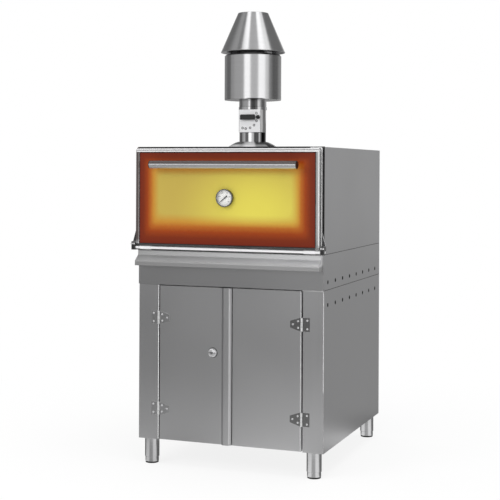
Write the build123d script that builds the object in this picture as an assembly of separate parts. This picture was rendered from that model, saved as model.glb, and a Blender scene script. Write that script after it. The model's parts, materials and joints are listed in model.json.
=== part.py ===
"""Charcoal grill oven on a closed stand, with a drop-down enamelled door and a flue on top.

Millimetres, +Z up, X to the right as seen from the front, Y towards the back.
The origin is on the floor, under the middle of the whole object.
Depths are counted from the front edge of the body's side panels, which lies at Y = FRONT.
"""
import os
from math import sqrt

from build123d import *

# Overall sizes
BODY_W = 800.0
BODY_D = 860.0
LEG_H = 103.0
STAND_H = 640.0
BASE_H = 141.0
OVEN_H = 424.0

# Sheet thicknesses and general clearances
SHEET = 1.5
DOOR_SHEET = 1.2
SEAM = 1.0
SEAT = 0.3
RUNNING = 0.05
TOUCH = 0.01

# Legs and adjustable feet
LEG_D = 60.0
LEG_WALL = 1.5
LEG_INSET_SIDE = 47.0
LEG_INSET_FRONT = 31.0
LEG_INSET_BACK = 32.0
LEG_CAP = 3.0
LEG_PLUG = 12.0
FOOT_D = 56.0
FOOT_H = 26.0
FOOT_ROUND = 1.5
PAD_D = 52.0
PAD_H = 6.0
STUD_D = 16.0
STUD_REACH = 50.0

# Stand front: posts, doors and what stops them
POST_W = 86.0
POST_RETURN = 28.0
HINGE_GAP = 8.0
DOOR_DEPTH = 20.0
DOOR_FOOT_GAP = 2.0
DOOR_HEAD_GAP = 4.0
DOOR_SPLIT = 14.0
DOOR_MEET_GAP = 3.0
FLOOR_UPSTAND = 30.0
DECK_SETBACK = 34.0
DECK_FLANGE = 40.0
MAGNET_W = 46.0
MAGNET_FROM_EDGE = 46.0
MAGNET_H = 16.0

# Raised grip along the left door's closing edge
GRIP_W = 43.5
GRIP_PROUD = 12.5
GRIP_SLOPE_LEFT = 12.0
GRIP_SLOPE_RIGHT = 8.5
GRIP_ROUND = 2.0

# Surface hinges of the stand doors
LEAF_T = 2.0
LEAF_H = 54.0
LEAF_TIP_H = 26.0
POST_LEAF_W = 32.0
DOOR_LEAF_W = 48.5
KNUCKLE_D = 10.0
PIN_D = 5.0
PIN_PROUD = 3.5
KNUCKLE_GAP = 0.3
HINGE_RISES = (129.0, 504.0)
SCREW_D = 4.0
SCREW_HEAD_D = 8.0
SCREW_HEAD_H = 1.4
SCREW_LENGTH = 8.0
SCREW_CLEAR = 0.1
SCREW_ROUND = 0.8
POST_SCREW_OUT = 23.0
POST_SCREW_SPREAD = 17.0
DOOR_SCREW_NEAR = 15.5
DOOR_SCREW_FAR = 37.5
DOOR_SCREW_SPREAD = 13.0

# Lock of the left door
LOCK_X = -70.0
LOCK_RISE = 371.5
LOCK_ROSE_D = 38.0
LOCK_ROSE_H = 8.0
LOCK_ROSE_ROUND = 3.5
LOCK_BODY_D = 22.0
LOCK_BODY_REACH = 4.0
LOCK_PLUG_D = 14.0
KEYWAY_W = 2.5
KEYWAY_L = 9.0
KEYWAY_DEPTH = 9.0
CAM_L = 95.0
CAM_W = 16.0
CAM_T = 2.5

# Vent holes in the sides
VENT_D = 15.0
VENT_COUNT = 8
VENT_FIRST = 52.0
VENT_PITCH = 104.0
VENT_BELOW_SEAM = 60.0
VENT_ABOVE_SEAM = 30.0

# Oven base: fascia, ash ledge and the deck that carries the fire chamber
FASCIA_PROUD = 7.0
SKIRT_RETURN = 12.0
SKIRT_FLANGE = 15.0
BASE_DECK_T = 2.0
BASE_DECK_DROP = 51.0
LEDGE_TOP_PROUD = 23.0
LEDGE_PROUD = 53.0
LEDGE_BAND = 19.5
LEDGE_FALL = 23.0
LEDGE_LIP = 19.0
LEDGE_END_INSET = 4.0

# Front frame of the oven and the recessed neck behind it
FRAME_PROUD = 30.0
FRAME_T = 4.0
FRAME_ROUND = 8.0
NECK_INSET = 12.0
SHELL_RETURN = 14.0

# Fire chamber, its insulation and what lies in it
INSULATION_T = 60.0
CHAMBER_WALL = 4.0
CHAMBER_BACK_GAP = 60.0
MOUTH_LAP = 2.0
MOUTH_SILL = 36.0
GRATE_BEARER_RISE = 70.0
BEARER_W = 20.0
BEARER_T = 10.0
GRATE_T = 12.0
GRATE_SIDE_GAP = 11.0
GRATE_SLOT_W = 12.0
GRATE_SLOTS = 23
GRATE_RIM = 24.0
CHAMBER_FRONT_GAP = 10.0
CHAMBER_REAR_GAP = 16.0
RUNNER_RISES = (210.0, 295.0)
RUNNER_W = 16.0
RUNNER_T = 3.0
ASH_PAN_SIDE_GAP = 34.0
ASH_PAN_H = 48.0
RACK_SIDE_GAP = 5.0
RACK_ROD_D = 8.0
RACK_BAR_D = 6.0
RACK_BARS = 27

# Oven door
DOOR_MARGIN = 5.0
DOOR_BOTTOM_GAP = 20.0
DOOR_TOP_GAP = 5.0
DOOR_PROUD = 49.0
DOOR_T = 13.0
TRIM_SIDE = 15.0
TRIM_TOP = 15.0
TRIM_BOTTOM = 8.0
TRIM_ROUND = 3.0
TRIM_CORNER = 8.0
ENAMEL_T = 2.0
ENAMEL_SUNK = 2.0
INNER_PAN_DEPTH = 31.5
INNER_PAN_GAP = 10.0
ROPE_W = 10.0
ROPE_OUT = 4.0

# Hinge of the oven door: a long rod in two brackets
ROD_D = 12.0
ROD_Y = -39.0
ROD_BELOW_DOOR = 7.5
BARREL_D = 16.0
BARREL_L = 48.0
BARREL_WEB_T = 8.0
BARREL_INSET = 18.0
BRACKET_OUT = 16.0
BRACKET_IN = 3.0
BRACKET_H = 34.0
BRACKET_FRONT = 48.0
WING_H = 91.0
BRACKET_ROUND = 3.0
FACE_NUT_D = 9.0
FACE_NUT_L = 6.0
FACE_NUT_ROUND = 3.2
FACE_STUD_D = 4.5
FACE_NUT_PLACES = (2.0, 11.5)
FACE_NUT_RISE = 25.0

# Handle of the oven door
HANDLE_D = 32.0
HANDLE_WALL = 1.5
HANDLE_L = 632.0
HANDLE_GAP = 22.0
HANDLE_BELOW_TOP = 66.5
HANDLE_CAP_T = 3.0
HANDLE_CAP_PLUG = 10.0
HANDLE_CAP_ROUND = 1.5
HANDLE_POST_D = 16.0
HANDLE_POST_BASE_D = 28.0
HANDLE_POST_BASE_T = 3.0
HANDLE_POST_INSET = 66.0

# Thermometer in the middle of the oven door
GAUGE_D = 72.0
GAUGE_PROUD = 13.0
GAUGE_WALL = 2.2
GAUGE_LIP = 1.8
GAUGE_LIP_T = 1.2
GAUGE_FLOOR_T = 3.0
DIAL_T = 1.0
GLASS_T = 2.0
GAUGE_BOSS_D = 20.0
STEM_D = 8.0
STEM_REACH = 45.0
NEEDLE_L = 25.0
NEEDLE_TAIL = 13.0
NEEDLE_W = 2.4
NEEDLE_TIP_W = 0.8
NEEDLE_T = 0.8
NEEDLE_HUB_D = 6.0
NEEDLE_SHAFT_D = 3.0
NEEDLE_GAP = 1.6
NEEDLE_REST_DEG = 220.0

# Flue: collar, pipe, damper
FLUE_Y = 264.0
PIPE_D = 112.0
PIPE_WALL = 1.5
COLLAR_D = 220.0
COLLAR_NECK_D = 127.0
COLLAR_H = 27.0
COLLAR_T = 2.0
COLLAR_BULGE = 2.5
DAMPER_ABOVE_TOP = 129.0
DISC_GAP = 1.2
DISC_T = 2.5
DAMPER_SHAFT_D = 10.0
DAMPER_FLAT = 2.5
SHAFT_COLLAR_D = 16.0
SHAFT_COLLAR_T = 4.0
PLATE_LEFT = 33.0
PLATE_RIGHT = 63.0
PLATE_FRONT = 77.0
PLATE_LOW = 66.0
PLATE_HIGH = 161.0
PLATE_SIDE_DEPTH = 58.0
LEVER_GAP = 8.0
LEVER_T = 3.0
LEVER_W = 22.0
LEVER_TAIL = 24.0
LEVER_L = 42.0
LEVER_ROUND = 4.0
LEVER_ROD_D = 3.0
KNOB_X = 55.0
KNOB_D = 17.0
RING_LOW = 162.0
RING_H = 12.0
RING_D = 119.0
SPIGOT_L = 40.0

# Firebreak drum and hat
SOCKET_WALL = 1.6
DRUM_D = 240.0
DRUM_LOW = 204.0
DRUM_H = 191.0
DRUM_SHOULDER = 6.0
DRUM_OUTLET_D = 128.0
BAFFLE_D = 180.0
BAFFLE_RISE = 90.0
BAFFLE_LEG_W = 14.0
BAFFLE_LEG_R = 75.0
BAFFLE_LEGS = 3
HAT_GAP = 10.0
HAT_D = 272.0
HAT_TOP_D = 128.0
HAT_H = 167.0
HAT_TAB_W = 24.0
HAT_TAB_T = 2.0
HAT_TAB_R = 108.0
HAT_TABS = 3

# Places worked out from the sizes above
HALF_W = BODY_W / 2
HANDLE_Y = -DOOR_PROUD + ENAMEL_SUNK - HANDLE_GAP - HANDLE_D / 2
HANDLE_REACH = HANDLE_D / 2 - HANDLE_Y
FRONT = (HANDLE_REACH - BODY_D) / 2
BACK = FRONT + BODY_D
STAND_TOP = LEG_H + STAND_H
BASE_TOP = STAND_TOP + BASE_H
OVEN_LOW = BASE_TOP + SEAM
OVEN_TOP = BASE_TOP + OVEN_H
DOOR_LOW_Z = LEG_H + DOOR_FOOT_GAP
DOOR_HIGH_Z = STAND_TOP - DOOR_HEAD_GAP
PIN_X = HALF_W - POST_W - HINGE_GAP / 2
PIN_Y = FRONT - PIN_PROUD
HINGE_HEIGHTS = [LEG_H + rise for rise in HINGE_RISES]
LOCK_Z = LEG_H + LOCK_RISE
STAND_DOOR_SIDE = HALF_W - POST_W - HINGE_GAP
MEET_LEFT = DOOR_SPLIT - DOOR_MEET_GAP / 2
MEET_RIGHT = DOOR_SPLIT + DOOR_MEET_GAP / 2
BASE_DECK_TOP = BASE_TOP - BASE_DECK_DROP
GRATE_BEARER_Z = BASE_DECK_TOP + GRATE_BEARER_RISE
RUNNER_HEIGHTS = [BASE_DECK_TOP + rise for rise in RUNNER_RISES]
CHAMBER_HALF = HALF_W - INSULATION_T
CHAMBER_IN = CHAMBER_HALF - CHAMBER_WALL
CHAMBER_TOP = OVEN_TOP - INSULATION_T
CHAMBER_FRONT = FRONT - FRAME_PROUD + FRAME_T
CHAMBER_BACK = BACK - CHAMBER_BACK_GAP
FRAME_FACE = FRONT - FRAME_PROUD
MOUTH_HALF = CHAMBER_IN - MOUTH_LAP
MOUTH_LOW = OVEN_LOW + MOUTH_SILL
MOUTH_HIGH = CHAMBER_TOP - CHAMBER_WALL - MOUTH_LAP
OVEN_DOOR_HALF = HALF_W - DOOR_MARGIN
OVEN_DOOR_LOW = BASE_TOP + DOOR_BOTTOM_GAP
OVEN_DOOR_HIGH = OVEN_TOP - DOOR_TOP_GAP
DOOR_FRONT = FRONT - DOOR_PROUD
DOOR_BACK = DOOR_FRONT + DOOR_T
ENAMEL_HALF = OVEN_DOOR_HALF - TRIM_SIDE
ENAMEL_LOW = OVEN_DOOR_LOW + TRIM_BOTTOM
ENAMEL_HIGH = OVEN_DOOR_HIGH - TRIM_TOP
ENAMEL_FACE = DOOR_FRONT + ENAMEL_SUNK
ROD_Z = OVEN_DOOR_LOW - ROD_BELOW_DOOR
GAUGE_Z = (OVEN_DOOR_LOW + OVEN_DOOR_HIGH) / 2
GAUGE_FRONT = ENAMEL_FACE - GAUGE_PROUD
DIAL_FACE = ENAMEL_FACE - GAUGE_FLOOR_T - DIAL_T
HANDLE_Z = OVEN_DOOR_HIGH - HANDLE_BELOW_TOP
HANDLE_AXIS_Y = FRONT + HANDLE_Y
FLUE_AXIS_Y = FRONT + FLUE_Y
PIPE_R = PIPE_D / 2
PIPE_IN = PIPE_R - PIPE_WALL
DAMPER_Z = OVEN_TOP + DAMPER_ABOVE_TOP
RING_Z = OVEN_TOP + RING_LOW
DRUM_Z = OVEN_TOP + DRUM_LOW
DRUM_TOP = DRUM_Z + DRUM_H
HAT_Z = DRUM_TOP + HAT_GAP
HAT_TOP = HAT_Z + HAT_H
PLATE_FACE = FLUE_AXIS_Y - PLATE_FRONT


def block(x0, x1, y0, y1, z0, z1):
    """A box between two corners."""
    size = Box(x1 - x0, y1 - y0, z1 - z0, align=(Align.MIN, Align.MIN, Align.MIN))
    return Pos(x0, y0, z0) * size


def post_z(x, y, z0, z1, radius):
    """A cylinder standing on end between two heights."""
    return Pos(x, y, z0) * Cylinder(radius, z1 - z0, align=(Align.CENTER, Align.CENTER, Align.MIN))


def rod_x(x0, x1, y, z, radius):
    """A cylinder lying along X."""
    return Pos((x0 + x1) / 2, y, z) * (Rot(0, 90, 0) * Cylinder(radius, x1 - x0))


def rod_y(x, y0, y1, z, radius):
    """A cylinder lying along Y."""
    return Pos(x, (y0 + y1) / 2, z) * (Rot(90, 0, 0) * Cylinder(radius, y1 - y0))


def slab_xy(points, z0, z1):
    """A flat outline given in X and Y, raised from z0 to z1."""
    face = make_face(Polyline(*points, close=True))
    return Pos(0, 0, z0) * extrude(face, z1 - z0, dir=(0, 0, 1))


def slab_xz(points, y0, y1):
    """A flat outline given in X and Z, carried from y0 to y1."""
    outline = [Vector(x, y0, z) for x, z in points]
    return extrude(make_face(Polyline(*outline, close=True)), y1 - y0, dir=(0, 1, 0))


def slab_yz(points, x0, x1):
    """A flat outline given in Y and Z, carried from x0 to x1."""
    outline = [Vector(x0, y, z) for y, z in points]
    return extrude(make_face(Polyline(*outline, close=True)), x1 - x0, dir=(1, 0, 0))


def turned(points, x=0.0, y=0.0):
    """A closed outline of radius and height, turned about an upright axis."""
    outline = [Vector(r, 0, z) for r, z in points]
    return Pos(x, y, 0) * revolve(make_face(Polyline(*outline, close=True)), Axis.Z)


def mirrored(shape):
    """The same piece on the other side of the object."""
    return mirror(shape, about=Plane.YZ)


def edges_at_x(shape, x):
    """The edges that lie in one plane of constant X."""
    return shape.edges().filter_by_position(Axis.X, x - TOUCH, x + TOUCH)


def edges_at_y(shape, y):
    """The edges that lie in one plane of constant Y."""
    return shape.edges().filter_by_position(Axis.Y, y - TOUCH, y + TOUCH)


def write(name, *solids):
    """Writes one node, a single piece or a group of like pieces."""
    shape = solids[0] if len(solids) == 1 else Compound(children=list(solids))
    shape.label = name
    export_step(shape, os.path.join("parts", name + ".step"))


# Legs and feet

def leg_places():
    side = HALF_W - LEG_INSET_SIDE
    front = FRONT + LEG_INSET_FRONT
    back = BACK - LEG_INSET_BACK
    return {
        "front_left": (-side, front),
        "front_right": (side, front),
        "back_left": (-side, back),
        "back_right": (side, back),
    }


def leg(x, y):
    """Round leg tube with a closed head and a threaded plug in its lower end."""
    low = FOOT_H + SEAT
    tube = post_z(x, y, low, LEG_H, LEG_D / 2)
    hollow = post_z(x, y, low + LEG_PLUG, LEG_H - LEG_CAP, LEG_D / 2 - LEG_WALL)
    thread = post_z(x, y, low, low + LEG_PLUG, STUD_D / 2 + RUNNING)
    return tube - hollow - thread


def foot(x, y):
    """Screw-in foot: collar, pad and a stud that runs up into the leg."""
    collar = post_z(x, y, PAD_H, FOOT_H, FOOT_D / 2)
    collar = fillet(collar.edges().filter_by(GeomType.CIRCLE), FOOT_ROUND)
    pad = post_z(x, y, 0, PAD_H, PAD_D / 2)
    stud = post_z(x, y, PAD_H, FOOT_H + STUD_REACH, STUD_D / 2)
    return collar + pad + stud


# Stand

def vent_cutters(z):
    """A row of round cutters that goes through both sides."""
    places = [FRONT + VENT_FIRST + i * VENT_PITCH for i in range(VENT_COUNT)]
    return [rod_x(-HALF_W - SHEET, HALF_W + SHEET, y, z, VENT_D / 2) for y in places]


def stand_side():
    """Left side panel of the stand, with its row of vent holes."""
    panel = block(-HALF_W, -HALF_W + SHEET, FRONT + SHEET, BACK, LEG_H, STAND_TOP - SEAM / 2)
    return panel - vent_cutters(STAND_TOP - VENT_BELOW_SEAM)


def stand_back():
    x = HALF_W - SHEET
    return block(-x, x, BACK - SHEET, BACK, LEG_H, STAND_TOP - SEAM / 2)


def stand_floor():
    """Floor pan with its edges bent up."""
    x = HALF_W - SHEET
    y0, y1 = FRONT + POST_RETURN + SEAT, BACK - SHEET
    pan = block(-x, x, y0, y1, LEG_H, LEG_H + FLOOR_UPSTAND)
    return pan - block(-x + SHEET, x - SHEET, y0 + SHEET, y1 - SHEET, LEG_H + SHEET, LEG_H + FLOOR_UPSTAND)


def stand_deck():
    """Top of the stand with its edges bent down, which carries the oven."""
    x = HALF_W - SHEET
    y0, y1 = FRONT + DECK_SETBACK, BACK - SHEET
    high = STAND_TOP - SEAM / 2
    low = high - DECK_FLANGE
    deck = block(-x, x, y0, y1, low, high)
    return deck - block(-x + SHEET, x - SHEET, y0 + SHEET, y1 - SHEET, low, high - SHEET)


def front_post():
    """Left front post: a face with a return at the door and one along the side."""
    high = STAND_TOP - SEAM / 2
    inner = -HALF_W + POST_W
    side = -HALF_W + SHEET
    post = block(-HALF_W, inner, FRONT, FRONT + SHEET, LEG_H, high)
    post += block(inner - SHEET, inner, FRONT, FRONT + POST_RETURN, LEG_H, high)
    post += block(side, side + SHEET, FRONT, FRONT + POST_RETURN, LEG_H, high)
    for x, z in post_screw_places():
        post -= rod_y(x, FRONT, FRONT + SHEET, z, SCREW_D / 2 + SCREW_CLEAR)
    return post


def magnet(x):
    """Catch magnet on the deck's front flange, just behind a closed door."""
    high = STAND_TOP - SEAM / 2 - SHEET
    y0 = FRONT + DOOR_DEPTH + SEAT
    return block(x - MAGNET_W / 2, x + MAGNET_W / 2, y0, FRONT + DECK_SETBACK, high - MAGNET_H, high)


# Surface hinges of the stand doors, drawn for the left side

def post_screw_places():
    x = -PIN_X - POST_SCREW_OUT
    return [(x, z + dz) for z in HINGE_HEIGHTS for dz in (-POST_SCREW_SPREAD, POST_SCREW_SPREAD)]


def door_screw_places():
    near, spread = DOOR_SCREW_NEAR, DOOR_SCREW_SPREAD
    offsets = ((near, -spread), (near, spread), (DOOR_SCREW_FAR, 0.0))
    return [(-PIN_X + dx, z + dz) for z in HINGE_HEIGHTS for dx, dz in offsets]


def knuckle_span(z, index):
    """Lower and upper end of one of a hinge's three knuckles."""
    third = LEAF_H / 3
    low = z - LEAF_H / 2 + index * third
    return low + KNUCKLE_GAP / 2, low + third - KNUCKLE_GAP / 2


def post_leaf(z):
    """Oblong leaf on the post, with the outer two knuckles and the pin fixed in them."""
    edge = -PIN_X - KNUCKLE_D / 2 - KNUCKLE_GAP
    leaf = block(-PIN_X - POST_LEAF_W, edge, FRONT - LEAF_T, FRONT, z - LEAF_H / 2, z + LEAF_H / 2)
    for index in (0, 2):
        low, high = knuckle_span(z, index)
        leaf += block(edge, -PIN_X, FRONT - LEAF_T, FRONT, low, high)
        leaf += post_z(-PIN_X, PIN_Y, low, high, KNUCKLE_D / 2)
    leaf += post_z(-PIN_X, PIN_Y, z - LEAF_H / 2, z + LEAF_H / 2, PIN_D / 2)
    for x, zs in post_screw_places():
        leaf -= rod_y(x, FRONT - LEAF_T, FRONT, zs, SCREW_D / 2 + SCREW_CLEAR)
    return leaf


def door_leaf(z):
    """Tapered leaf on the door, with the middle knuckle running on the pin."""
    edge = -PIN_X + KNUCKLE_D / 2 + KNUCKLE_GAP
    tip = -PIN_X + DOOR_LEAF_W
    half, tip_half = LEAF_H / 2, LEAF_TIP_H / 2
    outline = [(edge, z - half), (tip, z - tip_half), (tip, z + tip_half), (edge, z + half)]
    leaf = slab_xz(outline, FRONT - LEAF_T, FRONT)
    low, high = knuckle_span(z, 1)
    leaf += block(-PIN_X, edge, FRONT - LEAF_T, FRONT, low, high)
    leaf += post_z(-PIN_X, PIN_Y, low, high, KNUCKLE_D / 2)
    leaf -= post_z(-PIN_X, PIN_Y, low, high, PIN_D / 2 + RUNNING)
    for x, zs in door_screw_places():
        leaf -= rod_y(x, FRONT - LEAF_T, FRONT, zs, SCREW_D / 2 + SCREW_CLEAR)
    return leaf


def hinge_screw(x, z):
    """Round-headed screw through a leaf and the sheet behind it."""
    face = FRONT - LEAF_T
    head = rod_y(x, face - SCREW_HEAD_H, face, z, SCREW_HEAD_D / 2)
    head = fillet(edges_at_y(head, face - SCREW_HEAD_H), SCREW_ROUND)
    return head + rod_y(x, face, face + SCREW_LENGTH, z, SCREW_D / 2)


# Stand doors

def door_pan(x0, x1):
    """Folded door pan, open at the back."""
    pan = block(x0, x1, FRONT, FRONT + DOOR_DEPTH, DOOR_LOW_Z, DOOR_HIGH_Z)
    return pan - block(
        x0 + DOOR_SHEET,
        x1 - DOOR_SHEET,
        FRONT + DOOR_SHEET,
        FRONT + DOOR_DEPTH,
        DOOR_LOW_Z + DOOR_SHEET,
        DOOR_HIGH_Z - DOOR_SHEET,
    )


def screw_cutters():
    places = door_screw_places()
    return [rod_y(x, FRONT, FRONT + DOOR_SHEET, z, SCREW_D / 2 + SCREW_CLEAR) for x, z in places]


def left_door():
    pan = door_pan(-STAND_DOOR_SIDE, MEET_LEFT) - screw_cutters()
    lock_hole = rod_y(LOCK_X, FRONT, FRONT + DOOR_SHEET, LOCK_Z, LOCK_BODY_D / 2 + SCREW_CLEAR)
    return pan - lock_hole


def right_door():
    return mirrored(door_pan(-STAND_DOOR_SIDE, -MEET_RIGHT) - screw_cutters())


def grip_outline(wall):
    """Trapezoid of the grip, drawn inwards by the wall on every side but the door's."""
    left, right = MEET_LEFT - GRIP_W, MEET_LEFT
    lean_left = sqrt(GRIP_SLOPE_LEFT**2 + GRIP_PROUD**2) / GRIP_PROUD
    lean_right = sqrt(GRIP_SLOPE_RIGHT**2 + GRIP_PROUD**2) / GRIP_PROUD
    slope_left = GRIP_SLOPE_LEFT / GRIP_PROUD
    slope_right = GRIP_SLOPE_RIGHT / GRIP_PROUD
    front = GRIP_PROUD - wall
    foot_left = left + wall * lean_left
    foot_right = right - wall * lean_right
    return [
        (foot_left, FRONT),
        (foot_left + slope_left * front, FRONT - front),
        (foot_right - slope_right * front, FRONT - front),
        (foot_right, FRONT),
    ]


def left_door_grip():
    """Raised hollow rib along the closing edge, pulled by its side."""
    rib = slab_xy(grip_outline(0.0), DOOR_LOW_Z, DOOR_HIGH_Z)
    rib = fillet(edges_at_y(rib.edges().filter_by(Axis.Z), FRONT - GRIP_PROUD), GRIP_ROUND)
    return rib - slab_xy(grip_outline(DOOR_SHEET), DOOR_LOW_Z, DOOR_HIGH_Z)


def lock_case():
    """Rose on the door's face with the barrel housing behind it."""
    front = FRONT - LOCK_ROSE_H
    rose = rod_y(LOCK_X, front, FRONT, LOCK_Z, LOCK_ROSE_D / 2)
    rose = fillet(edges_at_y(rose, front), LOCK_ROSE_ROUND)
    housing = rod_y(LOCK_X, FRONT, FRONT + DOOR_DEPTH + LOCK_BODY_REACH, LOCK_Z, LOCK_BODY_D / 2)
    bore = rod_y(LOCK_X, front, FRONT + DOOR_DEPTH + LOCK_BODY_REACH, LOCK_Z, LOCK_PLUG_D / 2 + RUNNING)
    return rose + housing - bore


def cam_front():
    return FRONT + DOOR_DEPTH + LOCK_BODY_REACH + SEAT


def lock_plug():
    """Turning plug with a keyway and a long cam, which hangs down when the lock is open."""
    front = FRONT - LOCK_ROSE_H
    y0 = cam_front()
    y1 = y0 + CAM_T
    half = CAM_W / 2
    low = LOCK_Z - CAM_L + half
    plug = rod_y(LOCK_X, front, y1, LOCK_Z, LOCK_PLUG_D / 2)
    plug += rod_y(LOCK_X, y0, y1 + CAM_T, LOCK_Z, half + CAM_T)
    plug += block(LOCK_X - half, LOCK_X + half, y0, y1, low, LOCK_Z)
    plug += rod_y(LOCK_X, y0, y1, low, half)
    slot_x = (LOCK_X - KEYWAY_W / 2, LOCK_X + KEYWAY_W / 2)
    slot_z = (LOCK_Z - KEYWAY_L / 2, LOCK_Z + KEYWAY_L / 2)
    keyway = block(*slot_x, front, front + KEYWAY_DEPTH, *slot_z)
    return plug - keyway


# Oven base

def inner_flange(low, high):
    """Flat strip along the inside of the skirt's sides and back."""
    x, y1 = HALF_W - SHEET, BACK - SHEET
    strip = block(-x, x, FRONT + SHEET, y1, low, high)
    return strip - block(-x + SKIRT_FLANGE, x - SKIRT_FLANGE, FRONT, y1 - SKIRT_FLANGE, low, high)


def base_skirt():
    """Sides and back of the base in one bent sheet, with front returns and two flanges."""
    low, high = STAND_TOP + SEAM / 2, BASE_TOP
    skirt = block(-HALF_W, HALF_W, FRONT, BACK, low, high)
    skirt -= block(-HALF_W + SHEET, HALF_W - SHEET, FRONT, BACK - SHEET, low, high)
    for side in (-1, 1):
        x0, x1 = sorted((side * (HALF_W - SHEET), side * (HALF_W - SKIRT_RETURN)))
        skirt += block(x0, x1, FRONT, FRONT + SHEET, low, high)
    bearer_top = BASE_DECK_TOP - BASE_DECK_T
    skirt += inner_flange(STAND_TOP - SEAM / 2, low + SHEET)
    skirt += inner_flange(bearer_top - SHEET, bearer_top)
    return skirt - vent_cutters(STAND_TOP + VENT_ABOVE_SEAM)


def base_deck():
    """Plate inside the base that carries the fire chamber and its insulation."""
    x = HALF_W - SHEET - SEAT
    y0, y1 = FRONT + SHEET + SEAT, BACK - SHEET - SEAT
    return block(-x, x, y0, y1, BASE_DECK_TOP - BASE_DECK_T, BASE_DECK_TOP)


def fascia():
    """Plain band across the front of the base, with returns to the sides."""
    low, high = STAND_TOP + SEAM / 2, BASE_TOP - SHEET
    y0 = FRONT - FASCIA_PROUD
    band = block(-HALF_W, HALF_W, y0, FRONT, low, high)
    return band - block(-HALF_W + SHEET, HALF_W - SHEET, y0 + SHEET, FRONT, low, high)


def ledge_outline(wall):
    """Section of the ledge in Y and Z, drawn inwards by the wall."""
    high = BASE_TOP
    band_low = high - LEDGE_BAND
    lip_high = band_low - LEDGE_FALL
    run = LEDGE_PROUD - LEDGE_TOP_PROUD
    slant = sqrt(run**2 + LEDGE_FALL**2)
    drop = wall * (slant - LEDGE_FALL) / run
    back = FRONT - FASCIA_PROUD
    return [
        (back, high - wall),
        (FRONT - LEDGE_TOP_PROUD + wall, high - wall),
        (FRONT - LEDGE_TOP_PROUD + wall, band_low - drop),
        (FRONT - LEDGE_PROUD + wall, lip_high - drop),
        (FRONT - LEDGE_PROUD + wall, lip_high - LEDGE_LIP + wall),
        (back, lip_high - LEDGE_LIP + wall),
    ]


def ash_ledge():
    """Folded ledge under the oven door, sloping down to a lip, closed at its ends."""
    half = HALF_W - LEDGE_END_INSET
    outer = slab_yz(ledge_outline(0.0), -half, half)
    return outer - slab_yz(ledge_outline(SHEET), -half + SHEET, half - SHEET)


# Oven shell

def oven_side():
    """Left side panel with a return at the front."""
    side = block(-HALF_W, -HALF_W + SHEET, FRONT, BACK, OVEN_LOW, OVEN_TOP)
    return side + block(-HALF_W, -HALF_W + SHELL_RETURN, FRONT, FRONT + SHEET, OVEN_LOW, OVEN_TOP - SHEET)


def oven_wrap():
    """Top and back of the shell, bent from one sheet, with the flue hole."""
    x = HALF_W - SHEET
    wrap = block(-x, x, FRONT, BACK, OVEN_TOP - SHEET, OVEN_TOP)
    wrap += block(-x, x, BACK - SHEET, BACK, OVEN_LOW, OVEN_TOP)
    inner = HALF_W - SHELL_RETURN - SEAT
    wrap += block(-inner, inner, FRONT, FRONT + SHEET, OVEN_TOP - SHELL_RETURN, OVEN_TOP)
    return wrap - post_z(0, FLUE_AXIS_Y, OVEN_TOP - SHEET, OVEN_TOP, PIPE_R + SHEET)


def front_frame():
    """Thick bright plate round the mouth, with a recessed neck back to the shell."""
    y0, y1 = FRAME_FACE, FRAME_FACE + FRAME_T
    plate = block(-HALF_W, HALF_W, y0, y1, OVEN_LOW, OVEN_TOP)
    plate = fillet(plate.edges().filter_by(Axis.Y), FRAME_ROUND)
    half = HALF_W - NECK_INSET
    low, high = OVEN_LOW + NECK_INSET, OVEN_TOP - NECK_INSET
    neck = block(-half, half, y1, FRONT, low, high)
    neck -= block(-half + SHEET, half - SHEET, y1, FRONT, low + SHEET, high - SHEET)
    return plate + neck - block(-MOUTH_HALF, MOUTH_HALF, y0, y1, MOUTH_LOW, MOUTH_HIGH)


def hinge_bracket():
    """Right bracket: a block that holds the rod's end, and a gusset beside the frame."""
    low = OVEN_LOW + SEAM
    out = HALF_W + BRACKET_OUT
    body = block(HALF_W - BRACKET_IN, out, FRONT - BRACKET_FRONT, FRAME_FACE, low, low + BRACKET_H)
    body = fillet(edges_at_y(body, FRONT - BRACKET_FRONT), BRACKET_ROUND)
    outline = [(HALF_W, low), (out, low), (out, low + BRACKET_H), (HALF_W, low + WING_H)]
    bracket = body + slab_xz(outline, FRAME_FACE, FRAME_FACE + FRAME_T)
    bracket -= rod_x(HALF_W - BRACKET_IN, out, FRONT + ROD_Y, ROD_Z, ROD_D / 2)
    face = FRONT - BRACKET_FRONT
    for place in FACE_NUT_PLACES:
        bracket -= rod_y(HALF_W + place, face, FRAME_FACE, low + FACE_NUT_RISE, FACE_STUD_D / 2)
    return bracket


def hinge_rod():
    half = HALF_W + BRACKET_OUT
    return rod_x(-half, half, FRONT + ROD_Y, ROD_Z, ROD_D / 2)


def face_nut(x):
    """Dome nut on a bracket's front, with its stud."""
    face = FRONT - BRACKET_FRONT
    z = OVEN_LOW + SEAM + FACE_NUT_RISE
    nut = rod_y(x, face - FACE_NUT_L, face, z, FACE_NUT_D / 2)
    nut = fillet(edges_at_y(nut, face - FACE_NUT_L), FACE_NUT_ROUND)
    return nut + rod_y(x, face, FRAME_FACE, z, FACE_STUD_D / 2)


# Fire chamber and its contents

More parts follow.
